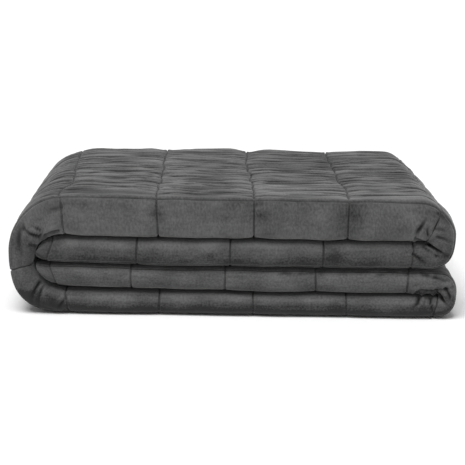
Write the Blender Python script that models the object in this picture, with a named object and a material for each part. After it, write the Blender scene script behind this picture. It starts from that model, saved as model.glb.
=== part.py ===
"""Weighted blanket, folded for the shelf.

The cloth is one quilt of filled pockets with a flat hem all round. It is folded in half twice across
its width, which makes a strip four layers thick whose folds are at the front. The strip's two ends
are then folded to its middle and the whole is folded in half, which makes four bands:

    wrap   ---------------- top ----------------   fold on the right
    wrap     end A -------- second -------------   fold on the right
    wrap     end B -------- third --------------   fold on the right
    wrap   --------------- bottom --------------   fold on the right

Metres, +Z up. X runs along the bands, Y from the front to the back, Z = 0 is the surface that the
blanket lies on, and the origin is under the middle of the folded blanket.
"""

import math
from collections import namedtuple

import bpy
import numpy as np

# ---------------------------------------------------------------- the quilt, flat
CUT_LENGTH = 2.032  # 80 in, along the bands
CUT_WIDTH = 1.524  # 60 in, across the strip
HEM = 0.0175  # flat turned edge outside the last line of stitching
COLUMNS = 20  # pockets along the length
ROWS = 15  # pockets across the width
END_COLUMNS = (0.0950, 0.0860)  # the pockets beside the hems at end A and end B
END_ROWS = (0.0820, 0.0980)  # the pockets beside the hems at the sides

# How far each line of stitching across the strip lies past its even place, in millimetres from end A.
COLUMN_DRIFT_MM = (-5, 0, 1, 1, -5, -3, -1, 0, 4, 2, 12, 1, -3, -1, 0, -6, 2, 0, -2, 0, 4)

# ---------------------------------------------------------------- the stack
FOLDED_WIDTH = 0.4778  # along X, over the wrap and the upper folds
LOWER_OUT = 0.0026  # how far the lower folds on the right stand out past the upper ones
MIDDLE_X = 0.0014  # how far right of the middle of that width the middle of the whole is
BAND_GAP = 0.001  # between one band and the next

# One row for each band, in the order in which the cloth runs through them: its thickness, and where
# its front and back folds are. The weight above makes the lower bands thinner.
Band = namedtuple("Band", "thickness front back")
SECOND = Band(0.0300, -0.1830, 0.1825)
TOP = Band(0.0460, -0.1860, 0.1860)
BOTTOM = Band(0.0245, -0.1840, 0.1845)
THIRD = Band(0.0262, -0.1820, 0.1830)

# The heights of each band's lower and upper face.
Heights = namedtuple("Heights", "low high")
BOTTOM_Z = Heights(0.0, BOTTOM.thickness)
THIRD_Z = Heights(BOTTOM_Z.high + BAND_GAP, BOTTOM_Z.high + BAND_GAP + THIRD.thickness)
SECOND_Z = Heights(THIRD_Z.high + BAND_GAP, THIRD_Z.high + BAND_GAP + SECOND.thickness)
TOP_Z = Heights(SECOND_Z.high + BAND_GAP, SECOND_Z.high + BAND_GAP + TOP.thickness)

WRAP_THICKNESS = 0.026  # of the strip where it wraps round its own ends, on the left
END_GAPS = (0.0012, 0.0030)  # between the wrap and ends A and B, which it holds
END_TIP = 0.011  # thickness of the strip at each end, where its hems lie on each other
END_FLAT = 0.012  # length over which the strip's outer side rounds down to that tip
END_DEG = (166.0, 184.0)  # directions of the two tips' near sides from the wrap's middle
CREASE_REACH = 0.006  # how far the crease inside a fold on the right runs past the fold's middle
RUN_EASE = 0.16  # share of a run, at each end, over which its two sides come level

# Exponents of the outlines of the wrap and of the folds, below and above their middles. 2 is an
# ellipse, and more is squarer: the weight presses their lower halves out.
Outline = namedtuple("Outline", "below above")
ROUND = Outline(2.0, 2.0)
WRAP_OUTLINE = Outline(2.85, 1.95)
UPPER_FOLD_OUTLINE = Outline(3.2, 1.72)
LOWER_FOLD_OUTLINE = Outline(2.5, 2.6)

# The folds on the right run in towards the back, the wrap runs out a little, and the stack is lower
# there.
RIGHT_SLANT = 0.0145  # how far in the back end of the right folds lies
LEFT_SLANT = 0.0015  # how far out the back end of the wrap lies
SLANT_FROM = 0.10  # both slants, and the wrap's drop, begin this far from the middle
BACK_DROP = 0.092  # share of the height that is lost at the back
WRAP_DROP = 0.008  # share that the wrap's back end loses beside that

# ---------------------------------------------------------------- the strip's four layers
# Shares of the strip's thickness. The four layers and the three gaps between them fill it.
LAYER_HALF = 0.115  # half a layer, at the crown of its pockets
SEAM_HALF = 0.045  # half a layer, at the stitching
HEM_HALF = 0.060  # half a layer, at the hem

FRONT_FOLD_DEPTH = 0.012  # how far the outer front fold bulges in front of its straight layers
FRONT_FOLD_SQUARENESS = 2.5  # exponent of its outline
INNER_FOLD_SETBACK = 0.003  # the inner front fold lies this far behind the outer one's cloth
LOWER_HEM_SETBACK = 0.002  # the side hem of the lowest layer, from the back fold
INNER_HEM_SETBACK = 0.007  # the side hem of the layer above it, from the back fold
EDGE_STEP = 0.002  # from the last stitching to the full thickness of the hem

CLOTH_GREY = (0.095, 0.095, 0.098, 1.0)

# ---------------------------------------------------------------- resolution
FINE_STEPS = 240  # points on each leg of the path from which the stations are read
CROWN_AT = (0.22, 0.78)  # where, across a pocket, its flat crown begins and ends
LEG_STEPS = {"run": 1, "fold": 8, "wrap": 10, "end": 3}
LENGTH_APART = 0.004  # stations along the length are further apart than this
WIDTH_APART = 0.0015  # rows across the width are further apart than this
NUDGE = 1e-5  # either side of a place, to find the cloth's direction there

Leg = namedtuple("Leg", "kind outer inner first last")
Span = namedtuple("Span", "kind length steps shares shows")
Row = namedtuple("Row", "v face close")


# ---------------------------------------------------------------- the strip's path, seen from the front
def straight(start, end):
    """Points of a straight line from start to end, both (x, z)."""
    share = np.linspace(0.0, 1.0, FINE_STEPS)[:, None]
    return np.array(start) * (1 - share) + np.array(end) * share


def eased(share):
    """Rises softly from 0 to 1."""
    share = np.clip(share, 0.0, 1.0)
    return share * share * (3 - 2 * share)


def beside(outer, start, end):
    """Points of a run's inner side, from start to end: level with its outer side all along, apart from
    near the two ends, so that the lines of stitching stand upright at the front."""
    share = np.linspace(0.0, 1.0, FINE_STEPS)
    first, last = eased(1 - share / RUN_EASE), eased((share - 1) / RUN_EASE + 1)
    x = outer[:, 0] + (start[0] - outer[0, 0]) * first + (end[0] - outer[-1, 0]) * last
    return np.stack([x, start[1] + (end[1] - start[1]) * share], axis=1)


def rounded(centre, radius_x, radius_z, first_deg, last_deg, outline=ROUND):
    """Points of an arc of an ellipse, or of a squarer curve, round centre."""
    angle = np.radians(np.linspace(first_deg, last_deg, FINE_STEPS))
    power = 2.0 / np.where(np.sin(angle) < 0, outline.below, outline.above)
    x = centre[0] + radius_x * np.sign(np.cos(angle)) * np.abs(np.cos(angle)) ** power
    z = centre[1] + radius_z * np.sign(np.sin(angle)) * np.abs(np.sin(angle)) ** power
    return np.stack([x, z], axis=1)


def legs():
    """The strip's legs in order from end A to end B: the points of its outer and its inner side, and
    the bands that it is part of at its start and at its end. The quilt's face is on the outer side."""
    left, right = -FOLDED_WIDTH / 2 + LEFT_SLANT, FOLDED_WIDTH / 2
    upper = (TOP_Z.high - SECOND_Z.low) / 2
    lower = (THIRD_Z.high - BOTTOM_Z.low) / 2
    upper_x, lower_x = right - upper, right - lower + LOWER_OUT
    upper_middle = (upper_x, SECOND_Z.low + upper)
    lower_middle = (lower_x, BOTTOM_Z.low + lower)
    upper_crease = (upper_x + CREASE_REACH, SECOND_Z.high + BAND_GAP / 2)
    lower_crease = (lower_x + CREASE_REACH, BOTTOM_Z.high + BAND_GAP / 2)
    crease = BAND_GAP / 2

    wrap = TOP_Z.high / 2
    wrap_x = left + wrap
    wrap_middle = (wrap_x, wrap)
    hold = (TOP_Z.low - BOTTOM_Z.high) / 2
    hold_x, hold_z = left + WRAP_THICKNESS + hold, BOTTOM_Z.high + hold
    hold_middle = (hold_x, hold_z)

    end_a, end_b = [hold - gap for gap in END_GAPS]
    a_turn, b_turn = [math.radians(turn) for turn in END_DEG]
    a_sweep = END_DEG[0] - math.degrees(END_TIP / end_a)
    b_sweep = END_DEG[1] + math.degrees(END_TIP / end_b)
    a_x, a_z = hold_x + end_a * math.cos(a_turn) + END_FLAT, hold_z + end_a * math.sin(a_turn)
    b_x, b_z = hold_x + end_b * math.cos(b_turn) + END_FLAT, hold_z + end_b * math.sin(b_turn)

    under_second = straight((a_x, SECOND_Z.low), (upper_x, SECOND_Z.low))
    over_top = straight((upper_x, TOP_Z.high), (wrap_x, TOP_Z.high))
    under_bottom = straight((wrap_x, BOTTOM_Z.low), (lower_x, BOTTOM_Z.low))
    over_third = straight((lower_x, THIRD_Z.high), (b_x, THIRD_Z.high))
    return [
        Leg("end", rounded((a_x, a_z), END_FLAT, a_z - SECOND_Z.low, 180, 270),
            rounded(hold_middle, end_a, end_a, a_sweep, 90), SECOND, SECOND),
        Leg("run", under_second,
            beside(under_second, (hold_x, hold_z + end_a), (upper_crease[0], SECOND_Z.high)), SECOND, SECOND),
        Leg("fold", rounded(upper_middle, upper, upper, -90, 90, UPPER_FOLD_OUTLINE),
            rounded(upper_crease, crease, crease, -90, 90), SECOND, TOP),
        Leg("run", over_top, beside(over_top, (upper_crease[0], TOP_Z.low), (hold_x, TOP_Z.low)), TOP, TOP),
        Leg("wrap", rounded(wrap_middle, wrap, wrap, 90, 270, WRAP_OUTLINE),
            rounded(hold_middle, hold, hold, 90, 270), TOP, BOTTOM),
        Leg("run", under_bottom,
            beside(under_bottom, (hold_x, BOTTOM_Z.high), (lower_crease[0], BOTTOM_Z.high)), BOTTOM, BOTTOM),
        Leg("fold", rounded(lower_middle, lower, lower, -90, 90, LOWER_FOLD_OUTLINE),
            rounded(lower_crease, crease, crease, -90, 90), BOTTOM, THIRD),
        Leg("run", over_third,
            beside(over_third, (lower_crease[0], THIRD_Z.low), (hold_x, hold_z - end_b)), THIRD, THIRD),
        Leg("end", rounded((b_x, b_z), END_FLAT, THIRD_Z.high - b_z, 90, 180),
            rounded(hold_middle, end_b, end_b, 270, b_sweep), THIRD, THIRD),
    ]


class Path:
    """The legs joined into one path. Places on it are lengths from end A along the middle of the
    outermost layer, which is the one that isn't crumpled where the strip turns."""

    def __init__(self):
        parts = legs()
        share = np.linspace(0.0, 1.0, FINE_STEPS)
        self.outer = np.concatenate([leg.outer for leg in parts])
        self.inner = np.concatenate([leg.inner for leg in parts])
        self.front = np.concatenate([leg.first.front * (1 - share) + leg.last.front * share for leg in parts])
        self.back = np.concatenate([leg.first.back * (1 - share) + leg.last.back * share for leg in parts])
        layer = self.outer + (self.inner - self.outer) * LAYER_HALF
        steps = np.linalg.norm(np.diff(layer, axis=0), axis=1)
        self.u = np.concatenate([[0.0], np.cumsum(steps)])
        self.length = self.u[-1]
        self.leg_ends = [(leg.kind, self.u[FINE_STEPS * (i + 1) - 1]) for i, leg in enumerate(parts)]

    def at(self, u):
        """The strip's outer and inner points, its thickness, and its front and back there."""
        outer = np.array([np.interp(u, self.u, self.outer[:, k]) for k in range(2)])
        inner = np.array([np.interp(u, self.u, self.inner[:, k]) for k in range(2)])
        thickness = np.linalg.norm(inner - outer)
        return outer, inner, thickness, np.interp(u, self.u, self.front), np.interp(u, self.u, self.back)


# ---------------------------------------------------------------- stitching and pockets
def stitching(cut, pockets, end_pockets, folded):
    """Where the lines of stitching lie on the folded cloth. Filling and folding draw the cut length in
    a little, so every place is scaled by the same share."""
    inner = np.linspace(HEM + end_pockets[0], cut - HEM - end_pockets[1], pockets - 1)
    return np.concatenate([[HEM], inner, [cut - HEM]]) * folded / cut


def crown(place, lines):
    """From 0 at the stitching and over the hem to 1 on the flat top of a pocket."""
    index = np.clip(np.searchsorted(lines, place, side="right") - 1, 0, len(lines) - 2)
    share = (place - lines[index]) / (lines[index + 1] - lines[index])
    rise = np.minimum(share / CROWN_AT[0], (1 - share) / (1 - CROWN_AT[1]))
    return np.clip(rise, 0.0, 1.0)


def between(lines, shares):
    """The lines, with the places at these shares of each pocket between them."""
    inside = [low + (high - low) * share for low, high in zip(lines[:-1], lines[1:]) for share in shares]
    return list(lines) + inside


def spaced(places, apart):
    """The places in order, without any that lies nearer than that to the one before it."""
    kept = []
    for place in sorted(places):
        if not kept or place - kept[-1] > apart:
            kept.append(place)
    kept[-1] = max(places)
    return kept


# ---------------------------------------------------------------- the strip's section, across the width
def section_spans():
    """The cloth's way across the strip, from the side hem of the lowest layer to the other side hem,
    measured along the middle of the cloth in a strip of middling thickness."""
    strip = (TOP.thickness + BOTTOM.thickness) / 2
    small_radius = strip * (1 - 2 * LAYER_HALF) / 6
    outer_fold = math.pi * (FRONT_FOLD_DEPTH + strip * (0.5 - LAYER_HALF)) / 2
    inner_fold = math.pi * small_radius
    run = TOP.back - TOP.front - FRONT_FOLD_DEPTH - LAYER_HALF * strip
    return [
        Span("lowest", run - LOWER_HEM_SETBACK, 1, (0.5,), True),
        Span("front_fold", outer_fold, 7, (), True),
        Span("face", run - small_radius, 1, CROWN_AT, True),
        Span("back_fold", inner_fold, 4, (), True),
        Span("under_face", run - small_radius - INNER_FOLD_SETBACK, 1, (), False),
        Span("inner_fold", inner_fold, 4, (), False),
        Span("above_lowest", run - INNER_FOLD_SETBACK - INNER_HEM_SETBACK, 1, (), False),
    ]


SPANS = section_spans()
WIDTH = sum(span.length for span in SPANS)


def middle_of_cloth(v, thickness, front, back):
    """(y, n) of the middle of the cloth at the places v across it, where n is the depth under the
    strip's outer side."""
    face, under_face, above_lowest, lowest = [
        thickness * (LAYER_HALF + (1 - 2 * LAYER_HALF) * i / 3) for i in range(4)
    ]
    small = (under_face - face) / 2
    large = (lowest - face) / 2
    run_front = front + LAYER_HALF * thickness + FRONT_FOLD_DEPTH
    run_back = back - LAYER_HALF * thickness - small
    inner_front = front + 3 * LAYER_HALF * thickness + INNER_FOLD_SETBACK + small
    power = 2.0 / FRONT_FOLD_SQUARENESS
    y, n = np.empty_like(v), np.empty_like(v)
    start = 0.0
    for span in SPANS:
        here = (v >= start - NUDGE) & (v <= start + span.length + NUDGE)
        share = np.clip((v[here] - start) / span.length, 0.0, 1.0)
        out, turn = np.abs(np.sin(math.pi * share)), np.cos(math.pi * share)
        if span.kind == "lowest":
            hem = back - LOWER_HEM_SETBACK
            y[here], n[here] = hem + (run_front - hem) * share, lowest
        elif span.kind == "front_fold":
            y[here] = run_front - FRONT_FOLD_DEPTH * out**power
            n[here] = face + large + large * np.sign(turn) * np.abs(turn) ** power
        elif span.kind == "face":
            y[here], n[here] = run_front + (run_back - run_front) * share, face
        elif span.kind == "back_fold":
            y[here], n[here] = run_back + small * out, face + small - small * turn
        elif span.kind == "under_face":
            y[here], n[here] = run_back + (inner_front - run_back) * share, under_face
        elif span.kind == "inner_fold":
            y[here], n[here] = inner_front - small * out, under_face + small - small * turn
        else:
            hem = back - INNER_HEM_SETBACK
            y[here], n[here] = inner_front + (hem - inner_front) * share, above_lowest
        start += span.length
    return np.stack([y, n], axis=1)


def cloth_sides(v, half, thickness, front, back):
    """(y, n) of the quilt's face and of its underside, half a layer either side of its middle."""
    ahead = middle_of_cloth(np.minimum(v + NUDGE, WIDTH), thickness, front, back)
    behind = middle_of_cloth(np.maximum(v - NUDGE, 0.0), thickness, front, back)
    along = ahead - behind
    along /= np.linalg.norm(along, axis=1)[:, None]
    towards_face = np.stack([along[:, 1], -along[:, 0]], axis=1) * half[:, None]
    middle = middle_of_cloth(v, thickness, front, back)
    return middle + towards_face, middle - towards_face


def rows_round_the_quilt(lines):
    """The rows of points from one side hem over the face to the other and back along the underside."""
    face, under = [], []
    start = seen_to = 0.0
    for span in SPANS:
        end = start + span.length
        bends = list(np.linspace(start, end, span.steps + 1))
        face += bends
        under += bends
        if span.steps == 1:
            places = between(lines, span.shares) if span.shares else lines[1:-1:2]
            face += [place for place in places if start < place < end]
        if span.shows:
            seen_to = end
        start = end
    hems = [lines[0] - EDGE_STEP, lines[-1] + EDGE_STEP]
    rows = [Row(v, True, v <= seen_to) for v in spaced(face + hems, WIDTH_APART)]
    rows += [Row(v, False, False) for v in reversed(spaced(under + hems, WIDTH_APART))]
    return rows


def length_stations(path, lines):
    """Places along the length for the rows that show, and the fewer ones of the rows that don't."""
    bends, start = [], 0.0
    for kind, end in path.leg_ends:
        bends += list(np.linspace(start, end, LEG_STEPS[kind] + 1))
        start = end
    close = spaced(bends + between(lines, CROWN_AT), LENGTH_APART)
    wide = spaced(bends + list(lines), LENGTH_APART)
    return close, wide


# ---------------------------------------------------------------- the skin
class Skin:
    """Collects the points and triangles of a surface that is made of rows of points."""

    def __init__(self):
        self.points = []
        self.triangles = []

    def add(self, point):
        """The index of a new point."""
        self.points.append(tuple(point))
        return len(self.points) - 1

    def zip(self, first, second):
        """Fills the strip between two rows, each a list of (place, index) in rising order."""
        i = j = 0
        while i < len(first) - 1 or j < len(second) - 1:
            second_done = j == len(second) - 1
            first_left = i < len(first) - 1
            if second_done or (first_left and first[i + 1][0] <= second[j + 1][0]):
                self.triangles.append((first[i][1], second[j][1], first[i + 1][1]))
                i += 1
            else:
                self.triangles.append((first[i][1], second[j][1], second[j + 1][1]))
                j += 1


def settle(points):
    """The points with the folds at the sides slanted, the stack lowered towards the back, and the
    middle of the whole at x = 0."""
    x, y, z = np.array(points).T
    behind = np.clip((y - TOP.front) / (TOP.back - TOP.front), 0.0, 1.0)
    share = (np.abs(x) - SLANT_FROM) / (FOLDED_WIDTH / 2 - SLANT_FROM)
    outward = eased(share)
    x = x - np.where(x > 0, RIGHT_SLANT, LEFT_SLANT) * behind * outward
    drop = (BACK_DROP + np.where(x > 0, 0.0, WRAP_DROP) * outward) * behind
    return np.stack([x - MIDDLE_X, y, z * (1 - drop)], axis=1)


def close_ends(skin, ring, placed):
    """Closes the strip's two ends between the rows of the face and those of the underside."""
    for end in (0, -1):
        face = [(row.v, line[end][1]) for row, line in zip(ring, placed) if row.face]
        under = [(row.v, line[end][1]) for row, line in zip(ring, placed) if not row.face][::-1]
        if end == 0:
            skin.zip(face, under)
        else:
            skin.zip(under, face)


def quilt_skin():
    """The whole quilt as one closed skin."""
    path = Path()
    columns = stitching(CUT_LENGTH, COLUMNS, END_COLUMNS, path.length) + np.array(COLUMN_DRIFT_MM) / 1000
    rows = stitching(CUT_WIDTH, ROWS, END_ROWS, WIDTH)
    close, wide = length_stations(path, columns)
    ring = rows_round_the_quilt(rows)
    v = np.array([row.v for row in ring])
    on_face = np.array([row.face for row in ring])
    on_side_hem = (v < rows[0]) | (v > rows[-1])
    crown_across = crown(v, rows)

    placed = [[] for _ in ring]
    skin = Skin()
    for u in sorted(set(close) | set(wide)):
        outer, inner, thickness, front, back = path.at(u)
        filled = crown_across * crown(u, columns)
        half = thickness * (SEAM_HALF + (LAYER_HALF - SEAM_HALF) * filled)
        on_end_hem = u < columns[0] or u > columns[-1]
        half[on_side_hem | on_end_hem] = thickness * HEM_HALF
        face, under = cloth_sides(v, half, thickness, front, back)
        places = np.where(on_face[:, None], face, under)
        for row, (y, n), line in zip(ring, places, placed):
            if u in (close if row.close else wide):
                x, z = outer + (inner - outer) * n / thickness
                line.append((u, skin.add((x, y, z))))
    for line, next_line in zip(placed, placed[1:] + placed[:1]):
        skin.zip(line, next_line)
    close_ends(skin, ring, placed)
    return skin


# ---------------------------------------------------------------- the object
def plush():
    """Brushed dark grey plush: matt, with a faint sheen."""
    material = bpy.data.materials.new("grey_plush")
    material.use_nodes = True
    shader = material.node_tree.nodes["Principled BSDF"]
    shader.inputs["Base Color"].default_value = CLOTH_GREY
    shader.inputs["Roughness"].default_value = 0.9
    shader.inputs["Metallic"].default_value = 0.0
    shader.inputs["Sheen Weight"].default_value = 0.3
    return material


def main():
    """Clears the scene and builds the blanket."""
    for obj in list(bpy.data.objects):
        bpy.data.objects.remove(obj)
    skin = quilt_skin()
    mesh = bpy.data.meshes.new("blanket")
    mesh.from_pydata(settle(skin.points), [], skin.triangles)
    mesh.update()
    mesh.shade_smooth()
    blanket = bpy.data.objects.new("blanket", mesh)
    blanket.data.materials.append(plush())
    bpy.context.scene.collection.objects.link(blanket)


main()
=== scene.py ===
"""The looks of a folded weighted blanket.

The blanket is one quilt of brushed plush, sewn into filled squares with a flat hem all round. It is
folded in four across its width, which makes a strip with its folds at the front, and the strip is
folded in four along its length, which makes four bands. This script draws the quilt again in the
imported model's folds, at a fine grain, with what the eye reads as cloth: narrow stitched grooves,
gathers that run out of them, creases where the bands turn, stitches and napped pile.

Metres, +Z up. X runs along the bands, Y from the front to the back, Z = 0 is the surface below.
"""

from __future__ import annotations

import logging
import math
from collections.abc import Iterable, Sequence
from dataclasses import dataclass, field
from enum import Enum, IntEnum

import bpy
import numpy as np
from mathutils import Matrix, Vector
from mathutils.bvhtree import BVHTree


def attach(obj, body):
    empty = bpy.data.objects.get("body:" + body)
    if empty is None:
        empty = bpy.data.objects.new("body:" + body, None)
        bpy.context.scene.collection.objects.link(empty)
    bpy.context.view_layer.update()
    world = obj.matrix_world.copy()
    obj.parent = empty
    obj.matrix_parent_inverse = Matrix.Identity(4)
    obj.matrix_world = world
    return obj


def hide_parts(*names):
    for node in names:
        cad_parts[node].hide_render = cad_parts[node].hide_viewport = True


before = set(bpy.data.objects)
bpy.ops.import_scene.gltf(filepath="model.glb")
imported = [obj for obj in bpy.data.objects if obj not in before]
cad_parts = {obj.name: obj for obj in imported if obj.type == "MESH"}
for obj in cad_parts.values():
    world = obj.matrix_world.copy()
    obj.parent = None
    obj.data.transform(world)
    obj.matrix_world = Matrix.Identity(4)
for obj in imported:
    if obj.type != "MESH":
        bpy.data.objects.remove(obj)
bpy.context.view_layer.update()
LOG = logging.getLogger("weighted_blanket")
NODE = "blanket"
BODY = "root"
MM = 0.001
NUDGE = 1e-5  # either side of a place, to find the cloth's direction there
FACE_ROWS = slice(4, 8)  # the lines of stitching along the strip, from its upper front corner back
Array = np.ndarray


# ---------------------------------------------------------------- small tools
def linear(colour: str) -> tuple[float, float, float, float]:
    """Turns an sRGB hex colour to linear light.

    Args:
        colour: six hex digits after a hash.

    Returns:
        Red, green, blue and an alpha of one.
    """
    channels = [int(colour[i : i + 2], 16) / 255 for i in (1, 3, 5)]
    light = [c / 12.92 if c <= 0.04045 else ((c + 0.055) / 1.055) ** 2.4 for c in channels]
    return (*light, 1.0)


def ramp(low: float, high: float, value: Array) -> Array:
    """Rises smoothly from 0 at low to 1 at high.

    Args:
        low: where the rise begins.
        high: where it ends.
        value: the places to read it at.

    Returns:
        The heights at those places.
    """
    share = np.clip((value - low) / (high - low), 0.0, 1.0)
    return share * share * (3 - 2 * share)


def bell(distance: Array, width: float | Array) -> Array:
    """A soft bump: 1 at no distance, and about a third at its width."""
    return np.exp(-((distance / width) ** 2))


def add_node(
    tree: bpy.types.NodeTree, kind: str, settings: dict | None = None, inputs: dict | None = None
) -> bpy.types.Node:
    """Adds a node with its settings and links.

    Args:
        tree: the tree that it joins.
        kind: the node's type.
        settings: attributes of the node.
        inputs: values or output sockets, by the input's name or number.

    Returns:
        The node.
    """
    node = tree.nodes.new(kind)
    for name, value in (settings or {}).items():
        setattr(node, name, value)
    for name, value in (inputs or {}).items():
        if isinstance(value, bpy.types.NodeSocket):
            tree.links.new(value, node.inputs[name])
        else:
            node.inputs[name].default_value = value
    return node


def mixed(
    tree: bpy.types.NodeTree, share: bpy.types.NodeSocket, *colours: bpy.types.NodeSocket | Sequence[float]
) -> bpy.types.NodeSocket:
    """The first colour where the share is 0, and the second where it is 1."""
    inputs = dict(zip((0, 6, 7), (share, *colours)))  # the inputs' numbers when colours are mixed
    return add_node(tree, "ShaderNodeMix", {"data_type": "RGBA"}, inputs).outputs[2]


def new_material(
    name: str, constants: dict[str, float | Sequence[float]]
) -> tuple[bpy.types.Material, bpy.types.NodeTree, bpy.types.Node]:
    """Makes a material.

    Args:
        name: the material's name.
        constants: values for its shader, by the name of the input.

    Returns:
        The material, its tree and its shader.
    """
    material = bpy.data.materials.new(name)
    material.use_nodes = True
    shader = material.node_tree.nodes["Principled BSDF"]
    for socket, value in constants.items():
        shader.inputs[socket].default_value = value
    return material, material.node_tree, shader


def put_in_scene(name: str, mesh: bpy.types.Mesh) -> bpy.types.Object:
    """Makes an object of the mesh at the origin and links it to the scene."""
    obj = bpy.data.objects.new(name, mesh)
    bpy.context.scene.collection.objects.link(obj)
    return obj


class Unevenness:
    """Smooth noise on a plane, from a seeded lattice of slopes."""

    LATTICE = 256
    GAIN = 1.5  # brings the usual heights to about -1 to 1

    def __init__(self, seed: int) -> None:
        """Draws the slopes for that seed."""
        turn = np.random.default_rng(seed).uniform(0.0, 2 * math.pi, (self.LATTICE, self.LATTICE))
        self.slopes = np.stack([np.cos(turn), np.sin(turn)], axis=-1)

    def at(self, p: Array, q: Array) -> Array:
        """Reads the noise.

        Args:
            p: places along the first direction, in waves.
            q: places along the second direction, in waves.

        Returns:
            Heights between about -1 and 1.
        """
        i, j = np.floor(p).astype(int), np.floor(q).astype(int)
        a, b = p - i, q - j
        fade_a, fade_b = (t**3 * (t * (6 * t - 15) + 10) for t in (a, b))
        height = np.zeros_like(a)
        for di, dj in ((0, 0), (1, 0), (0, 1), (1, 1)):
            slope = self.slopes[(i + di) % self.LATTICE, (j + dj) % self.LATTICE]
            share = (fade_a if di else 1 - fade_a) * (fade_b if dj else 1 - fade_b)
            height += share * (slope[..., 0] * (a - di) + slope[..., 1] * (b - dj))
        return height * self.GAIN


# ---------------------------------------------------------------- the quilt, flat
@dataclass(frozen=True)
class Quilt:
    """The flat quilt. Its cut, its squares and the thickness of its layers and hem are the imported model's.
    Its seams are thicker here, and its leans, its strays and the outline of its grooves are only here."""

    length: float = 2.032
    width: float = 1.524
    hem: float = 0.0175
    columns: int = 20
    rows: int = 15
    end_columns: tuple[float, float] = (0.0950, 0.0860)
    end_rows: tuple[float, float] = (0.0820, 0.0980)
    # How far each line of stitching across the strip lies past its even place, in millimetres.
    drift_mm: tuple[int, ...] = (-5, 0, 1, 1, -5, -3, -1, 0, 4, 2, 12, 1, -3, -1, 0, -6, 2, 0, -2, 0, 4)
    # Lines of stitching that lean at the front: their numbers, and by how many millimetres.
    leans: tuple[tuple[int, float], ...] = (
        (0, 7.0), (4, 4.0), (8, 3.0), (9, 19.0), (10, 10.0), (11, -6.0), (16, -6.5), (20, -7.0),
    )
    lean_along: float = 0.040  # how far along the strip the cloth beside such a line follows it
    lean_behind: float = 0.090  # and how far back from the fold
    # Lines that run aside on the top: their numbers, and how many millimetres to the left at the back.
    strays: tuple[tuple[int, float], ...] = ((6, 7.5), (7, 7.5), (8, 3.5), (9, 13.0))
    # Half a layer's thickness, as shares of the thickness of the strip of four layers.
    layer_half: float = 0.115
    seam_half: float = 0.052
    hem_half: float = 0.060
    groove: float = 0.0008  # half width of the sharp groove that the thread pulls in
    shoulder: float = 0.026  # from the stitching to the flat crown of a square
    crown_power: float = 2.2  # how quickly a square rises to its crown
    groove_share: float = 0.60  # of the rise, that is in the sharp groove
    row_pull: float = 0.5  # how much the stitching along the strip pulls in, beside that across it
    hem_edge: float = 0.0022  # the turned edge is rounded over this length
    edge_least: float = 0.04  # the square of its thickness at the very edge, as a share

    @staticmethod
    def lines(cut: float, hem: float, squares: int, ends: tuple[float, float], folded: float) -> Array:
        """Where the lines of stitching lie on the folded cloth.

        Args:
            cut: the flat size across those lines.
            hem: the hem's width.
            squares: how many squares there are.
            ends: the first and the last square's size.
            folded: what the cut size measures when it is filled and folded.

        Returns:
            The places of the lines, from 0 to folded.
        """
        inner = np.linspace(hem + ends[0], cut - hem - ends[1], squares - 1)
        return np.concatenate([[hem], inner, [cut - hem]]) * folded / cut

    def rise(self, place: Array, lines: Array) -> tuple[Array, Array]:
        """How full the cloth is between its lines of stitching.

        Args:
            place: places along one direction of the cloth.
            lines: the lines of stitching across that direction.

        Returns:
            0 at a line and 1 at the crown of a square, and the distance from the nearest line.
        """
        nearest = np.abs(place[:, None] - lines[None, :]).min(axis=1)
        sharp = 1 - bell(nearest, self.groove)
        broad = 1 - (1 - np.clip(nearest / self.shoulder, 0, 1)) ** self.crown_power
        outside = (place < lines[0]) | (place > lines[-1])
        full = self.groove_share * sharp + (1 - self.groove_share) * broad
        return np.where(outside, sharp, full), nearest


# ---------------------------------------------------------------- the stack
@dataclass(frozen=True)
class Band:
    """One of the four bands: its thickness, and where its front and back folds are."""

    thickness: float
    front: float
    back: float
    low: float = 0.0

    @property
    def high(self) -> float:
        """The height of its upper face."""
        return self.low + self.thickness

    def over(self, lower: Band, gap: float) -> Band:
        """The same band, lying on a lower one."""
        return Band(self.thickness, self.front, self.back, lower.high + gap)


@dataclass(frozen=True)
class Outline:
    """Exponents of a turn's outline below and above its middle: 2 is an ellipse, more is squarer."""

    below: float = 2.0
    above: float = 2.0


class LegKind(Enum):
    """What a length of the strip does."""

    END = "end"
    RUN = "run"
    FOLD = "fold"
    WRAP = "wrap"


class Part(IntEnum):
    """The legs that the outside is made of, and the one after them, by their number from end A."""

    UPPER_FOLD = 2
    TOP = 3
    WRAP = 4
    UNDERFOOT = 5
    LOWER_FOLD = 6
    OVER_THIRD = 7


# From the start of which part to the start of which the outer face lies open.
OUTSIDE_PARTS = ((Part.UPPER_FOLD, Part.UNDERFOOT), (Part.LOWER_FOLD, Part.OVER_THIRD))


@dataclass(frozen=True)
class Leg:
    """A length of the strip: the (x, z) points of its outer and inner sides, and its bands."""

    kind: LegKind
    outer: Array
    inner: Array
    first: Band
    last: Band


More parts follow.
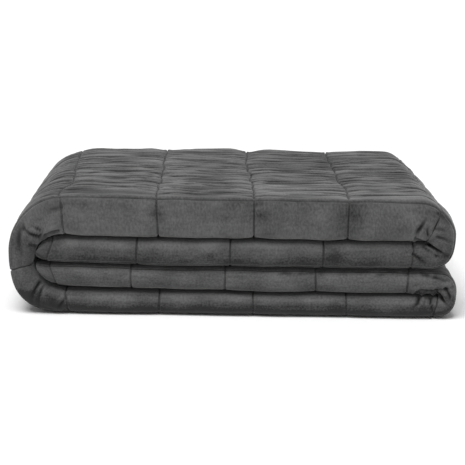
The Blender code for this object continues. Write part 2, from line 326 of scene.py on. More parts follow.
@dataclass(frozen=True)
class Stack:
    """The folded stack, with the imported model's sizes."""

    width: float = 0.4778  # over the wrap and the upper folds
    lower_out: float = 0.0026  # how far the lower folds on the right stand out past the upper ones
    middle_x: float = 0.0014  # how far right of the middle of that width the middle of the whole is
    gap: float = 0.001
    bottom: Band = Band(0.0245, -0.1840, 0.1845)
    third_flat: Band = Band(0.0262, -0.1820, 0.1830)
    second_flat: Band = Band(0.0300, -0.1830, 0.1825)
    top_flat: Band = Band(0.0460, -0.1860, 0.1860)
    wrap_thickness: float = 0.026
    end_gaps: tuple[float, float] = (0.0012, 0.0030)  # round end A and end B
    end_tip: float = 0.011
    end_flat: float = 0.012
    end_deg: tuple[float, float] = (166.0, 184.0)
    crease_reach: float = 0.006
    wrap_outline: Outline = Outline(2.85, 1.95)
    upper_outline: Outline = Outline(3.2, 1.72)
    lower_outline: Outline = Outline(2.5, 2.6)
    right_slant: float = 0.0145
    left_slant: float = 0.0015
    slant_from: float = 0.10
    back_drop: float = 0.092
    wrap_drop: float = 0.008
    run_ease: float = 0.16  # share of a run, at each end, over which its two sides come level
    steps: int = 240  # points on each leg from which the stations are read

    @property
    def third(self) -> Band:
        """The third band down, where end B is."""
        return self.third_flat.over(self.bottom, self.gap)

    @property
    def second(self) -> Band:
        """The second band down, where end A is."""
        return self.second_flat.over(self.third, self.gap)

    @property
    def top(self) -> Band:
        """The top band."""
        return self.top_flat.over(self.second, self.gap)

    def straight(self, start: Sequence[float], end: Sequence[float]) -> Array:
        """Points of a straight line from start to end, both (x, z)."""
        share = np.linspace(0.0, 1.0, self.steps)[:, None]
        return np.array(start) * (1 - share) + np.array(end) * share

    def beside(self, outer: Array, start: Sequence[float], end: Sequence[float]) -> Array:
        """The inner side of a run: level with its outer side, apart from near the two ends.

        Args:
            outer: the points of the run's outer side.
            start: (x, z) where the inner side begins.
            end: (x, z) where it ends.

        Returns:
            The (x, z) points.
        """
        share = np.linspace(0.0, 1.0, self.steps)
        first, last = 1 - ramp(0.0, self.run_ease, share), ramp(1 - self.run_ease, 1.0, share)
        x = outer[:, 0] + (start[0] - outer[0, 0]) * first + (end[0] - outer[-1, 0]) * last
        return np.stack([x, start[1] + (end[1] - start[1]) * share], axis=1)

    def turn(
        self,
        middle: Sequence[float],
        radii: tuple[float, float],
        degrees: tuple[float, float],
        outline: Outline = Outline(),
    ) -> Array:
        """Points of an arc of an ellipse, or of a squarer curve.

        Args:
            middle: (x, z) of its middle.
            radii: along x and along z.
            degrees: its first and last direction.
            outline: how square it is.

        Returns:
            The (x, z) points.
        """
        angle = np.radians(np.linspace(*degrees, self.steps))
        power = 2.0 / np.where(np.sin(angle) < 0, outline.below, outline.above)
        x = middle[0] + radii[0] * np.sign(np.cos(angle)) * np.abs(np.cos(angle)) ** power
        z = middle[1] + radii[1] * np.sign(np.sin(angle)) * np.abs(np.sin(angle)) ** power
        return np.stack([x, z], axis=1)

    def legs(self) -> list[Leg]:
        """The strip's legs in order from end A to end B. The quilt's face is on the outer side."""
        top, second, third, bottom = self.top, self.second, self.third, self.bottom
        left, right, crease = self.left_slant - self.width / 2, self.width / 2, self.gap / 2
        upper, lower = (top.high - second.low) / 2, (third.high - bottom.low) / 2
        upper_x, lower_x = right - upper, right - lower + self.lower_out
        upper_crease = (upper_x + self.crease_reach, second.high + crease)
        lower_crease = (lower_x + self.crease_reach, bottom.high + crease)
        wrap, hold = top.high / 2, (top.low - bottom.high) / 2
        wrap_x = left + wrap
        hold_x, hold_z = left + self.wrap_thickness + hold, bottom.high + hold
        radii = [hold - gap for gap in self.end_gaps]
        tips = [math.degrees(self.end_tip / radius) for radius in radii]
        turns = [math.radians(turn) for turn in self.end_deg]
        a_x, b_x = (hold_x + radius * math.cos(turn) + self.end_flat for radius, turn in zip(radii, turns))
        a_z, b_z = (hold_z + radius * math.sin(turn) for radius, turn in zip(radii, turns))
        end_a, end_b = radii
        under_second = self.straight((a_x, second.low), (upper_x, second.low))
        over_top = self.straight((upper_x, top.high), (wrap_x, top.high))
        under_bottom = self.straight((wrap_x, bottom.low), (lower_x, bottom.low))
        over_third = self.straight((lower_x, third.high), (b_x, third.high))
        fold, wrapped = (-90, 90), (90, 270)
        outers = [
            self.turn((a_x, a_z), (self.end_flat, a_z - second.low), (180, 270)),
            under_second,
            self.turn((upper_x, second.low + upper), (upper, upper), fold, self.upper_outline),
            over_top,
            self.turn((wrap_x, wrap), (wrap, wrap), wrapped, self.wrap_outline),
            under_bottom,
            self.turn((lower_x, bottom.low + lower), (lower, lower), fold, self.lower_outline),
            over_third,
            self.turn((b_x, b_z), (self.end_flat, third.high - b_z), (90, 180)),
        ]
        inners = [
            self.turn((hold_x, hold_z), (end_a, end_a), (self.end_deg[0] - tips[0], 90)),
            self.beside(under_second, (hold_x, hold_z + end_a), (upper_crease[0], second.high)),
            self.turn(upper_crease, (crease, crease), fold),
            self.beside(over_top, (upper_crease[0], top.low), (hold_x, top.low)),
            self.turn((hold_x, hold_z), (hold, hold), wrapped),
            self.beside(under_bottom, (hold_x, bottom.high), (lower_crease[0], bottom.high)),
            self.turn(lower_crease, (crease, crease), fold),
            self.beside(over_third, (lower_crease[0], third.low), (hold_x, hold_z - end_b)),
            self.turn((hold_x, hold_z), (end_b, end_b), (270, self.end_deg[1] + tips[1])),
        ]
        inward = [LegKind.END, LegKind.RUN, LegKind.FOLD, LegKind.RUN]
        kinds = [*inward, LegKind.WRAP, *reversed(inward)]
        bands = [second, second, second, top, top, bottom, bottom, third, third, third]
        return [Leg(*parts) for parts in zip(kinds, outers, inners, bands, bands[1:])]


class Path:
    """The legs joined into one path. Places on it are lengths from end A along the middle of the
    outermost layer, which is the one that isn't crumpled where the strip turns."""

    def __init__(self, stack: Stack, layer_half: float) -> None:
        """Joins the legs of the stack and measures along them."""
        legs = stack.legs()
        share = np.linspace(0.0, 1.0, stack.steps)
        self.outer = np.concatenate([leg.outer for leg in legs])
        self.inner = np.concatenate([leg.inner for leg in legs])
        self.front = np.concatenate([leg.first.front * (1 - share) + leg.last.front * share for leg in legs])
        self.back = np.concatenate([leg.first.back * (1 - share) + leg.last.back * share for leg in legs])
        layer = self.outer + (self.inner - self.outer) * layer_half
        self.u = np.concatenate([[0.0], np.cumsum(np.linalg.norm(np.diff(layer, axis=0), axis=1))])
        self.length = float(self.u[-1])
        self.kinds = [leg.kind for leg in legs]
        self.ends = [0.0] + [float(self.u[stack.steps * (i + 1) - 1]) for i in range(len(legs))]

    def at(self, u: Array) -> tuple[Array, Array, Array, Array, Array]:
        """The strip's outer and inner points, its thickness, and its front and back, at each place."""
        outer = np.stack([np.interp(u, self.u, self.outer[:, k]) for k in range(2)], axis=1)
        inner = np.stack([np.interp(u, self.u, self.inner[:, k]) for k in range(2)], axis=1)
        thickness = np.linalg.norm(inner - outer, axis=1)
        return outer, inner, thickness, np.interp(u, self.u, self.front), np.interp(u, self.u, self.back)

    def leg(self, number: int) -> tuple[float, float]:
        """Where that leg begins and ends."""
        return self.ends[number], self.ends[number + 1]


class SpanKind(Enum):
    """What a width of the quilt does in the strip's section."""

    LOWEST = "lowest"
    FRONT_FOLD = "front fold"
    FACE = "face"
    BACK_FOLD = "back fold"
    UNDER_FACE = "under face"
    INNER_FOLD = "inner fold"
    ABOVE_LOWEST = "above lowest"


@dataclass(frozen=True)
class Section:
    """The strip's section: four layers back and forth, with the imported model's sizes."""

    layer_half: float
    strip: float
    run_from: float
    run_to: float
    front_fold_depth: float = 0.012
    front_fold_squareness: float = 2.5
    flat_front_squareness: float = 4.0  # on the top band and round the wrap, and only here
    flat_from: tuple[float, float] = (-0.01, 0.04)  # how far along the top it becomes so
    flat_to: float = 0.03  # how far round the wrap it begins to be rounder again
    inner_fold_setback: float = 0.003
    lower_hem_setback: float = 0.002
    inner_hem_setback: float = 0.007
    fold_steps: int = 400  # points from which the front fold's outline is measured
    spans: list[tuple[SpanKind, float, float]] = field(init=False)

    def __post_init__(self) -> None:
        """Measures the spans across the width, in a strip of middling thickness."""
        small = self.strip * (1 - 2 * self.layer_half) / 6
        run = self.run_to - self.run_from - self.front_fold_depth - self.layer_half * self.strip
        lengths = {
            SpanKind.LOWEST: run - self.lower_hem_setback,
            SpanKind.FRONT_FOLD: math.pi * (self.front_fold_depth + self.strip * (0.5 - self.layer_half)) / 2,
            SpanKind.FACE: run - small,
            SpanKind.BACK_FOLD: math.pi * small,
            SpanKind.UNDER_FACE: run - small - self.inner_fold_setback,
            SpanKind.INNER_FOLD: math.pi * small,
            SpanKind.ABOVE_LOWEST: run - self.inner_fold_setback - self.inner_hem_setback,
        }
        spans, start = [], 0.0
        for kind, length in lengths.items():
            spans.append((kind, start, start + length))
            start += length
        object.__setattr__(self, "spans", spans)

    @property
    def width(self) -> float:
        """The quilt's whole width along the section."""
        return self.spans[-1][2]

    def span(self, kind: SpanKind) -> tuple[float, float]:
        """Where that span begins and ends."""
        return next((start, end) for name, start, end in self.spans if name is kind)

    def turned(self, share: Array, flat_front: Array) -> Array:
        """How far round the front fold a place is.

        Args:
            share: how much of the fold's length comes before it.
            flat_front: 1 where the fold is pressed flat, and 0 where it is rounder.

        Returns:
            The share of the half turn.
        """
        steps = np.linspace(0.0, 1.0, self.fold_steps)
        out, turn = np.abs(np.sin(math.pi * steps)), np.cos(math.pi * steps)
        found = []
        for squareness in (self.front_fold_squareness, self.flat_front_squareness):
            y = self.front_fold_depth * out ** (2 / squareness)
            n = self.strip * (0.5 - self.layer_half) * np.sign(turn) * np.abs(turn) ** (2 / squareness)
            length = np.concatenate([[0.0], np.cumsum(np.hypot(np.diff(y), np.diff(n)))])
            found.append(np.interp(share, length / length[-1], steps))
        return found[0] * (1 - flat_front) + found[1] * flat_front

    def middle(self, v: Array, thickness: Array, front: Array, back: Array, flat_front: Array) -> Array:
        """The middle of the cloth.

        Args:
            v: places across the quilt, from the side hem of the lowest layer.
            thickness: the strip's thickness at each.
            front: where its front fold is.
            back: where its back fold is.
            flat_front: 1 where the front fold is pressed flat, and 0 where it is rounder.

        Returns:
            (y, n) at each place, where n is the depth under the strip's outer side.
        """
        levels = [thickness * (self.layer_half + (1 - 2 * self.layer_half) * i / 3) for i in range(4)]
        face, under_face, above_lowest, lowest = levels
        small, large = (under_face - face) / 2, (lowest - face) / 2
        run_front = front + self.layer_half * thickness + self.front_fold_depth
        run_back = back - self.layer_half * thickness - small
        inner_front = front + 3 * self.layer_half * thickness + self.inner_fold_setback + small
        squareness = self.front_fold_squareness * (1 - flat_front) + self.flat_front_squareness * flat_front
        power = 2.0 / squareness
        y, n = np.empty_like(v), np.empty_like(v)
        for kind, start, end in self.spans:
            here = (v >= start - NUDGE) & (v <= end + NUDGE)
            share = np.clip((v - start) / (end - start), 0.0, 1.0)
            angle = math.pi * (self.turned(share, flat_front) if kind is SpanKind.FRONT_FOLD else share)
            out, turn = np.abs(np.sin(angle)), np.cos(angle)
            if kind is SpanKind.LOWEST:
                hem = back - self.lower_hem_setback
                place = hem + (run_front - hem) * share, lowest
            elif kind is SpanKind.FRONT_FOLD:
                bend = np.sign(turn) * np.abs(turn) ** power
                place = run_front - self.front_fold_depth * out**power, face + large + large * bend
            elif kind is SpanKind.FACE:
                place = run_front + (run_back - run_front) * share, face
            elif kind is SpanKind.BACK_FOLD:
                place = run_back + small * out, face + small - small * turn
            elif kind is SpanKind.UNDER_FACE:
                place = run_back + (inner_front - run_back) * share, under_face
            elif kind is SpanKind.INNER_FOLD:
                place = inner_front - small * out, under_face + small - small * turn
            else:
                hem = back - self.inner_hem_setback
                place = inner_front + (hem - inner_front) * share, above_lowest
            y[here], n[here] = place[0][here], place[1][here]
        return np.stack([y, n], axis=1)


# ---------------------------------------------------------------- the skin
class Reach(Enum):
    """Along how much of the length a row of points is drawn finely."""

    FRONT = "front"  # on the fold at the front, which is creased where the strip turns
    ALL = "all"  # on the fold at the back and the hems, which show all along
    OUTSIDE = "outside"  # on the outer face, which shows on the top and round the turns
    HIDDEN = "hidden"  # between the layers


@dataclass(frozen=True)
class Grain:
    """How closely the quilt's skin is drawn, in metres."""

    beside_seam: tuple[float, ...] = (
        0.0, 0.0005, 0.0010, 0.0017, 0.0028, 0.0045, 0.0072, 0.0110, 0.0155, 0.0210, 0.0275, 0.0350, 0.0440,
    )
    hem_stations: tuple[float, ...] = (0.0, 0.0003, 0.0009, 0.0018, 0.0032, 0.0060, 0.0090)
    hem_rows: tuple[float, ...] = (0.0, 0.0004, 0.0012, 0.0028)
    outside_row: float = 0.0024
    fold_row: float = 0.0018
    near_fold: float = 0.012  # rows this near a fold are drawn as finely as the fold
    near_row: float = 0.0026
    turn_steps: int = 34
    beyond_turn: float = 0.030  # how far past a turn its creases run
    creased: float = 0.0020  # between stations on the front fold where the strip turns
    underfoot: float = 0.012  # between stations on the face that lies on the surface below
    coarser: int = 4  # between the layers, one in so many of the stations on a turn is kept
    creased_least: float = 0.6  # share of the creased step that two stations may be apart
    bend_rows: tuple[float, float] = (0.005, 0.004)  # between rows under the front and back folds
    finer_near: float = 0.002  # a row takes over the reach of a finer one this near
    seam_rows: int = 5  # how many of the steps beside a seam are drawn at lines along the strip
    apart: float = 0.0004


@dataclass
class Skin:
    """The quilt's closed surface, with the place on the flat cloth that each point comes from."""

    u: Array
    v: Array
    on_face: Array
    ring: Array
    points: Array
    triangles: Array
    rows: list[Array]
    row_v: Array
    row_face: Array

    def normals(self) -> Array:
        """The direction out of the surface at each point."""
        a, b, c = (self.points[self.triangles[:, k]] for k in range(3))
        cross = np.cross(b - a, c - a)
        total = np.zeros_like(self.points)
        for k in range(3):
            for axis in range(3):
                total[:, axis] += np.bincount(self.triangles[:, k], cross[:, axis], len(total))
        return total / np.maximum(np.linalg.norm(total, axis=1), 1e-12)[:, None]


class QuiltSkin:
    """Draws the folded quilt as one closed skin."""

    def __init__(self, quilt: Quilt, stack: Stack, grain: Grain) -> None:
        """Works out the path, the section and the lines of stitching."""
        self.quilt, self.stack, self.grain = quilt, stack, grain
        self.path = Path(stack, quilt.layer_half)
        strip = (stack.top.thickness + stack.bottom.thickness) / 2
        self.section = Section(quilt.layer_half, strip, stack.top.front, stack.top.back)
        drift = np.array(quilt.drift_mm) * MM
        self.columns = drift + quilt.lines(
            quilt.length, quilt.hem, quilt.columns, quilt.end_columns, self.path.length
        )
        self.rows = quilt.lines(quilt.width, quilt.hem, quilt.rows, quilt.end_rows, self.section.width)
        self.corner = self.rows[FACE_ROWS][0]  # the line of stitching along the top's front corner

    def stations(self) -> dict[Reach, Array]:
        """The places along the length at which each kind of row has its points."""
        grain, path = self.grain, self.path
        fine = set()
        for line in self.columns:
            for step in grain.beside_seam:
                fine |= {line - step, line + step}
        for step in grain.hem_stations:
            fine |= {step, path.length - step}
        bends = set(path.ends)
        for number, kind in enumerate(path.kinds):
            if kind is not LegKind.RUN:
                bends |= set(np.linspace(*path.leg(number), grain.turn_steps + 1))
        kept = self.spaced([*self.columns, 0.0, path.length], sorted(fine | bends), grain.apart)
        creased = [
            u
            for number, kind in enumerate(path.kinds)
            if kind in (LegKind.FOLD, LegKind.WRAP)
            for start, end in (path.leg(number),)
            for u in np.arange(start - grain.beyond_turn, end + grain.beyond_turn, grain.creased)
        ]
        front = self.spaced(kept, creased, grain.creased * grain.creased_least)
        turns = [u for u in kept if self.in_turn(u)][:: grain.coarser]
        starts = [*self.columns, 0.0, path.length]
        hidden = self.spaced(starts, turns + path.ends, grain.apart * grain.coarser)
        hidden = np.array([u for u in kept if np.abs(hidden - u).min() < grain.apart / 2])
        under_start, under_end = path.leg(Part.UNDERFOOT)
        sparse = self.spaced([*self.columns, under_start, under_end], kept, grain.underfoot)
        hidden_run = self.hidden_run(kept)
        underfoot = (kept > under_start) & (kept < under_end) & ~np.isin(kept, sparse)
        outside = kept[~underfoot & (~hidden_run | np.isin(kept, hidden))]
        return {Reach.FRONT: front, Reach.ALL: kept, Reach.OUTSIDE: outside, Reach.HIDDEN: hidden}

    def in_turn(self, u: float) -> bool:
        """Whether that place is on a turn."""
        legs = [self.path.leg(n) for n, kind in enumerate(self.path.kinds) if kind is not LegKind.RUN]
        return any(start <= u <= end for start, end in legs)

    def hidden_run(self, u: Array) -> Array:
        """Whether the outer face is hidden between bands at those places."""
        return (u < self.path.ends[Part.UPPER_FOLD]) | (u > self.path.ends[Part.OVER_THIRD])

    @staticmethod
    def spaced(first: Iterable[float], others: Iterable[float], apart: float) -> Array:
        """Places in order: all of the first ones, and those of the others that keep their distance."""
        kept = sorted(first)
        chosen = list(kept)
        for place in others:
            if min(abs(place - other) for other in chosen[-3:] + kept) >= apart and 0 <= place:
                chosen.append(float(place))
        return np.array(sorted(set(chosen)))

    def ring_rows(self) -> list[tuple[float, bool, Reach]]:
        """The rows round the quilt, over the face from hem to hem and back along the underside."""
        grain, section = self.grain, self.section
        hems = [e for s in grain.hem_rows for e in (s, section.width - s)]
        front, back = section.span(SpanKind.FRONT_FOLD), section.span(SpanKind.BACK_FOLD)
        inner = section.span(SpanKind.INNER_FOLD)
        near = grain.near_fold

        def every(start: float, end: float, step: float) -> list[float]:
            """Even places from start to end, about a step apart."""
            return list(np.linspace(start, end, max(2, round((end - start) / step) + 1)))

        face = [(v, Reach.ALL) for v in hems]
        face += [(v, Reach.FRONT) for v in every(front[0] - near, front[0], grain.near_row)]
        face += [(v, Reach.FRONT) for v in every(*front, grain.fold_row)]
        face += [(v, Reach.FRONT) for v in every(front[1], front[1] + near, grain.near_row)]
        face += [(v, Reach.OUTSIDE) for v in every(front[1] + near, back[0] - near, grain.outside_row)]
        for line in self.rows[FACE_ROWS]:
            steps = grain.beside_seam[: grain.seam_rows]
            face += [(line + s * d, Reach.OUTSIDE) for s in steps for d in (-1, 1)]
        face += [(v, Reach.ALL) for v in every(back[0] - near, back[0], grain.near_row * 2)]
        face += [(v, Reach.ALL) for v in every(*back, grain.fold_row)]
        face += [(v, Reach.ALL) for v in every(back[1], back[1] + near, grain.near_row * 2)]
        coarse = [(v, Reach.HIDDEN) for v in [*self.rows, *every(*inner, grain.fold_row * 3)]]
        at_front, at_back = grain.bend_rows
        bends = [(v, Reach.HIDDEN) for v in [*every(*front, at_front), *every(*back, at_back)]]
        under = [(v, Reach.ALL) for v in hems] + coarse + bends
        rows = [(v, True, reach) for v, reach in self.thinned(face + coarse)]
        return rows + [(v, False, reach) for v, reach in reversed(self.thinned(under))]

    def thinned(self, rows: list[tuple[float, Reach]]) -> list[tuple[float, Reach]]:
        """The rows in order of place, without any that is too near a finer or a stitched one."""
        order = {reach: number for number, reach in enumerate(Reach)}
        ends = {0.0, self.section.width}

        def weight(row: tuple[float, Reach]) -> tuple[bool, int]:
            """Sorts stitched rows and the edges first, and then finer rows before coarser ones."""
            stitched = np.abs(self.rows - row[0]).min() < NUDGE / 10 or row[0] in ends
            return not stitched, order[row[1]]

        kept: list[tuple[float, Reach]] = []
        for v, reach in sorted(rows, key=weight):
            if 0 <= v <= self.section.width and all(abs(v - other) > self.grain.apart for other, _ in kept):
                kept.append((v, reach))
        near = self.grain.finer_near
        finest = {v: min((r for w, r in rows if abs(w - v) < near), key=order.get) for v, _ in kept}
        return sorted((v, finest[v]) for v, _ in kept)

    def half(self, u: Array, v: Array, thickness: Array) -> Array:
        """Half the quilt's thickness at places on it, in a strip of that thickness."""
        quilt = self.quilt
        rise_u, _ = quilt.rise(u, self.columns)
        rise_v, _ = quilt.rise(v, self.rows)
        edge = np.minimum.reduce([u, self.path.length - u, v, self.section.width - v])
        in_hem = (u < self.columns[0]) | (u > self.columns[-1]) | (v < self.rows[0]) | (v > self.rows[-1])
        full = np.where(in_hem, quilt.hem_half, quilt.layer_half)
        rise_v = 1 - quilt.row_pull * (1 - rise_v)
        half = quilt.seam_half + (full - quilt.seam_half) * rise_u * rise_v
        round_off = np.sqrt(np.clip(1 - (1 - np.clip(edge / quilt.hem_edge, 0, 1)) ** 2, quilt.edge_least, 1))
        return thickness * half * round_off

    def lean(self, u: Array, v: Array) -> Array:
        """How far the cloth is shifted along the strip where a line of stitching leans or strays."""
        start, end = self.section.span(SpanKind.FRONT_FOLD)
        share = np.clip((v - start) / (end - start), 0.0, 1.0) - 0.5
        beyond = np.maximum(np.maximum(start - v, v - end), 0.0)
        share = share * (1 - ramp(0.0, self.quilt.lean_behind, beyond))
        share = share * ramp(0.0, self.quilt.hem, np.minimum(u, self.path.length - u))
        back, back_end = self.section.span(SpanKind.BACK_FOLD)
        behind = ramp(end, back, v) * (1 - ramp(back, back_end, v))

        def followed(lines: Iterable[tuple[int, float]]) -> Array:
            """How far the cloth beside those lines goes with them."""
            return sum(size * MM * bell(u - self.columns[n], self.quilt.lean_along) for n, size in lines)

        return followed(self.quilt.leans) * share + followed(self.quilt.strays) * behind

    def place(self, u: Array, v: Array, on_face: Array) -> Array:
        """The points of the quilt's two sides, before the stack settles.

        Args:
            u: places along the length.
            v: places across the width.
            on_face: whether each is on the face rather than on the underside.

        Returns:
            The (x, y, z) points.
        """
        outer, inner, thickness, front, back = self.path.at(u + self.lean(u, v))
        (start, wrap), (_, end) = self.path.leg(Part.TOP), self.path.leg(Part.WRAP)
        low, high = self.section.flat_from
        flat_front = ramp(start + low, start + high, u) * (1 - ramp(wrap + self.section.flat_to, end, u))
        size = (thickness, front, back, flat_front)
        along = self.section.middle(np.minimum(v + NUDGE, self.section.width), *size)
        along = along - self.section.middle(np.maximum(v - NUDGE, 0.0), *size)
        along /= np.linalg.norm(along, axis=1)[:, None]
        half = self.half(u, v, thickness) * np.where(on_face, 1.0, -1.0)
        middle = self.section.middle(v, *size)
        y, n = middle[:, 0] + along[:, 1] * half, middle[:, 1] - along[:, 0] * half
        across = outer + (inner - outer) * (n / thickness)[:, None]
        return np.stack([across[:, 0], y, across[:, 1]], axis=1)

    def build(self) -> Skin:
        """Places the points of all rows and fills the strips between them."""
        stations = self.stations()
        ring = self.ring_rows()
        rows, u, v, on_face, round_quilt, start = [], [], [], [], [], 0
        for place, face, reach in ring:
            count = len(stations[reach])
            rows.append(np.arange(start, start + count))
            u.append(stations[reach])
            v.append(np.full(count, place))
            on_face.append(np.full(count, face))
            round_quilt.append(np.full(count, place if face else 2 * self.section.width - place))
            start += count
        places = np.concatenate(u), np.concatenate(v), np.concatenate(on_face)
        triangles = []
        for this, other in zip(range(len(rows)), [*range(1, len(rows)), 0]):
            self.fill(triangles, places[0][rows[this]], rows[this], places[0][rows[other]], rows[other])
        self.close(triangles, ring, rows)
        return Skin(
            *places,
            np.concatenate(round_quilt),
            self.place(*places),
            np.array(triangles),
            rows,
            np.array([row[0] for row in ring]),
            np.array([row[1] for row in ring]),
        )

    @staticmethod
    def fill(triangles: list, first_at: Array, first: Array, second_at: Array, second: Array) -> None:
        """Fills the strip between two rows of points that are in order of their places."""
        i = j = 0
        first_at, second_at = first_at.tolist(), second_at.tolist()
        first, second = first.tolist(), second.tolist()
        while i < len(first) - 1 or j < len(second) - 1:
            if j == len(second) - 1 or (i < len(first) - 1 and first_at[i + 1] <= second_at[j + 1]):
                triangles.append((first[i], second[j], first[i + 1]))
                i += 1
            else:
                triangles.append((first[i], second[j], second[j + 1]))
                j += 1

    def close(self, triangles: list, ring: list[tuple[float, bool, Reach]], rows: list[Array]) -> None:
        """Closes the quilt's two ends between the face and the underside."""
        for end in (0, -1):
            face = [(row[0], line[end]) for row, line in zip(ring, rows) if row[1]]
            under = [(row[0], line[end]) for row, line in zip(ring, rows) if not row[1]][::-1]
            first, second = (face, under) if end == 0 else (under, face)
            self.fill(triangles, *(np.array(x) for side in (first, second) for x in zip(*side)))


# ---------------------------------------------------------------- how the stack settles
@dataclass(frozen=True)
class Settling:
    """Moves the whole stack in one smooth way, so that few of its layers meet."""

    stack: Stack
    wave: float = 0.0010  # how far the lines of stitching wander along X at the front
    top_wave: float = 0.0030  # and on the top
    wave_y: float = 0.042
    wave_z: float = 0.050
    wave_turn: float = 17.0  # waves a metre by which the wander differs along X
    row_wave: float = 0.0030  # how far those along the strip wander back and forth
    row_wave_x: float = 0.085
    bulge: float = 0.0018  # how far the front and back stand in or out
    bulge_x: float = 0.110
    bulge_z: float = 0.030
    swell: float = 0.0012  # how far the creases between the bands rise and fall
    swell_x: float = 0.150
    swell_y: float = 0.090
    swell_z: float = 0.060
    nip: float = 0.0009  # and how far they do so from one square to the next
    nip_x: float = 0.034
    nip_z: float = 0.045
    steady_from: float = 0.150  # left of here the swell and the nip fade out
    steady_to: float = 0.190  # to here, because the wrap holds the ends of the strip close
    left_rise: float = 0.0030  # the bands lie a little higher beside the wrap
    left_rise_to: float = 0.06
    edge: float = 0.35  # share of the half width, at each side, over which the wander grows
    edge_wave: float = 0.2  # share of the wander that is left at the very side
    top_from: tuple[float, float] = (0.03, 0.20)  # shares of the depth over which the top's waves grow
    top_to: tuple[float, float] = (0.80, 0.97)  # and over which they fade
    top_high: tuple[float, float] = (0.7, 0.85)  # shares of the height over which they grow
    steep: float = 4.0  # how quickly the creases' rise grows above the surface below
    still_above: float = 1.15  # and the share of the height where it would be gone again
    shifts: tuple[float, ...] = (1.9, 3.3, 5.7, 8.1, 4.3)  # of each noise, so that none lines up
    seed: int = 7

    def moved(self, points: Array) -> Array:
        """The points after the stack has settled.

        Args:
            points: the (x, y, z) points.

        Returns:
            The moved points.
        """
        stack = self.stack
        x, y, z = points.T
        behind = np.clip((y - stack.top.front) / (stack.top.back - stack.top.front), 0.0, 1.0)
        outward = ramp(stack.slant_from, stack.width / 2, np.abs(x))
        x = x - np.where(x > 0, stack.right_slant, stack.left_slant) * behind * outward
        high = z / stack.top.high
        z = z * (1 - (stack.back_drop + np.where(x > 0, 0.0, stack.wrap_drop) * outward) * behind)
        across, out, up, along, short = (Unevenness(self.seed + k) for k in range(5))
        inside = ramp(0.0, self.edge, 1 - np.abs(x) / (stack.width / 2))
        inside = inside * (1 - self.edge_wave) + self.edge_wave
        on_top = ramp(*self.top_from, behind) * (1 - ramp(*self.top_to, behind)) * ramp(*self.top_high, high)
        a, b, c, d, e = self.shifts
        wave = self.wave + (self.top_wave - self.wave) * on_top
        turned = self.wave_turn * x
        y = y + self.row_wave * on_top * along.at(x / self.row_wave_x + a, y / self.swell_y)
        x = x + wave * inside * across.at(y / self.wave_y + turned + b, z / self.wave_z + turned)
        y = y + self.bulge * out.at(x / self.bulge_x, z / self.bulge_z + c)
        between = np.clip(self.steep * high * (self.still_above - high), 0.0, 1.0)
        place = x / self.swell_x + d, y / self.swell_y + z / self.swell_z
        fine_place = x / self.nip_x + e, y / self.swell_y + z / self.nip_z
        loose = between * (1 - ramp(-self.steady_from, -self.steady_to, x))
        z = z + loose * (self.swell * up.at(*place) + self.nip * short.at(*fine_place))
        z = z + self.left_rise * between * ramp(-self.left_rise_to, -stack.width / 2, x) * (1 - behind)
        return np.stack([x - stack.middle_x, y, z], axis=1)


@dataclass(frozen=True)
class Clearance:
    """Eases the relief where it would make the cloth run through itself."""

    rounds: int = 6
    eased: float = 0.30  # share of the relief that a round takes off where triangles cross
    reach: int = 2  # over how many triangles more the easing spreads
    falling: float = 0.6  # share of it that reaches each next triangle

    def crossed(self, points: Array, triangles: Array) -> Array:
        """Finds where the surface runs through itself.

        Args:
            points: the (x, y, z) points.
            triangles: the numbers of each triangle's points.

        Returns:
            1 at the corners of triangles that cross others, less beside them and 0 elsewhere.
        """
        tree = BVHTree.FromPolygons(points.tolist(), triangles.tolist(), all_triangles=True)
        first, second = np.array(tree.overlap(tree)).reshape(-1, 2).T
        joined = (triangles[first][:, :, None] == triangles[second][:, None, :]).any(axis=(1, 2))
        marks = np.zeros(len(points))
        for side in (first, second):
            marks[triangles[side[~joined]].ravel()] = 1.0
        LOG.info("%d pairs of triangles cross", int((~joined & (first < second)).sum()))
        for _ in range(self.reach):
            beside = np.repeat(self.falling * marks[triangles].max(axis=1), 3)
            np.maximum.at(marks, triangles.ravel(), beside)
        return marks

    def moved(self, plain: Array, full: Array, triangles: Array) -> Array:
        """The points with less of the relief where triangles cross.

        Args:
            plain: the points without their relief.
            full: the points with all of it.
            triangles: the numbers of each triangle's points.

        Returns:
            The moved points.
        """
        kept, points = np.ones(len(plain)), full
        for _ in range(self.rounds):
            kept *= 1 - self.eased * self.crossed(points, triangles)
            points = plain + (full - plain) * kept[:, None]
            points[:, 2] = np.maximum(points[:, 2], 0.0)
        return points


# ---------------------------------------------------------------- gathers
@dataclass(frozen=True)
class GatherStyle:
    """A kind of small wrinkle that runs out of a line of stitching. Lengths are in millimetres."""

    apart: tuple[float, float]  # from one to the next along the stitching
    reach: tuple[float, float]  # how far it runs into the square
    width: tuple[float, float]
    depth: tuple[float, float]
    lean: float  # how far it may slope, as a share of its reach
    bow: float  # how far it may bend aside, in millimetres


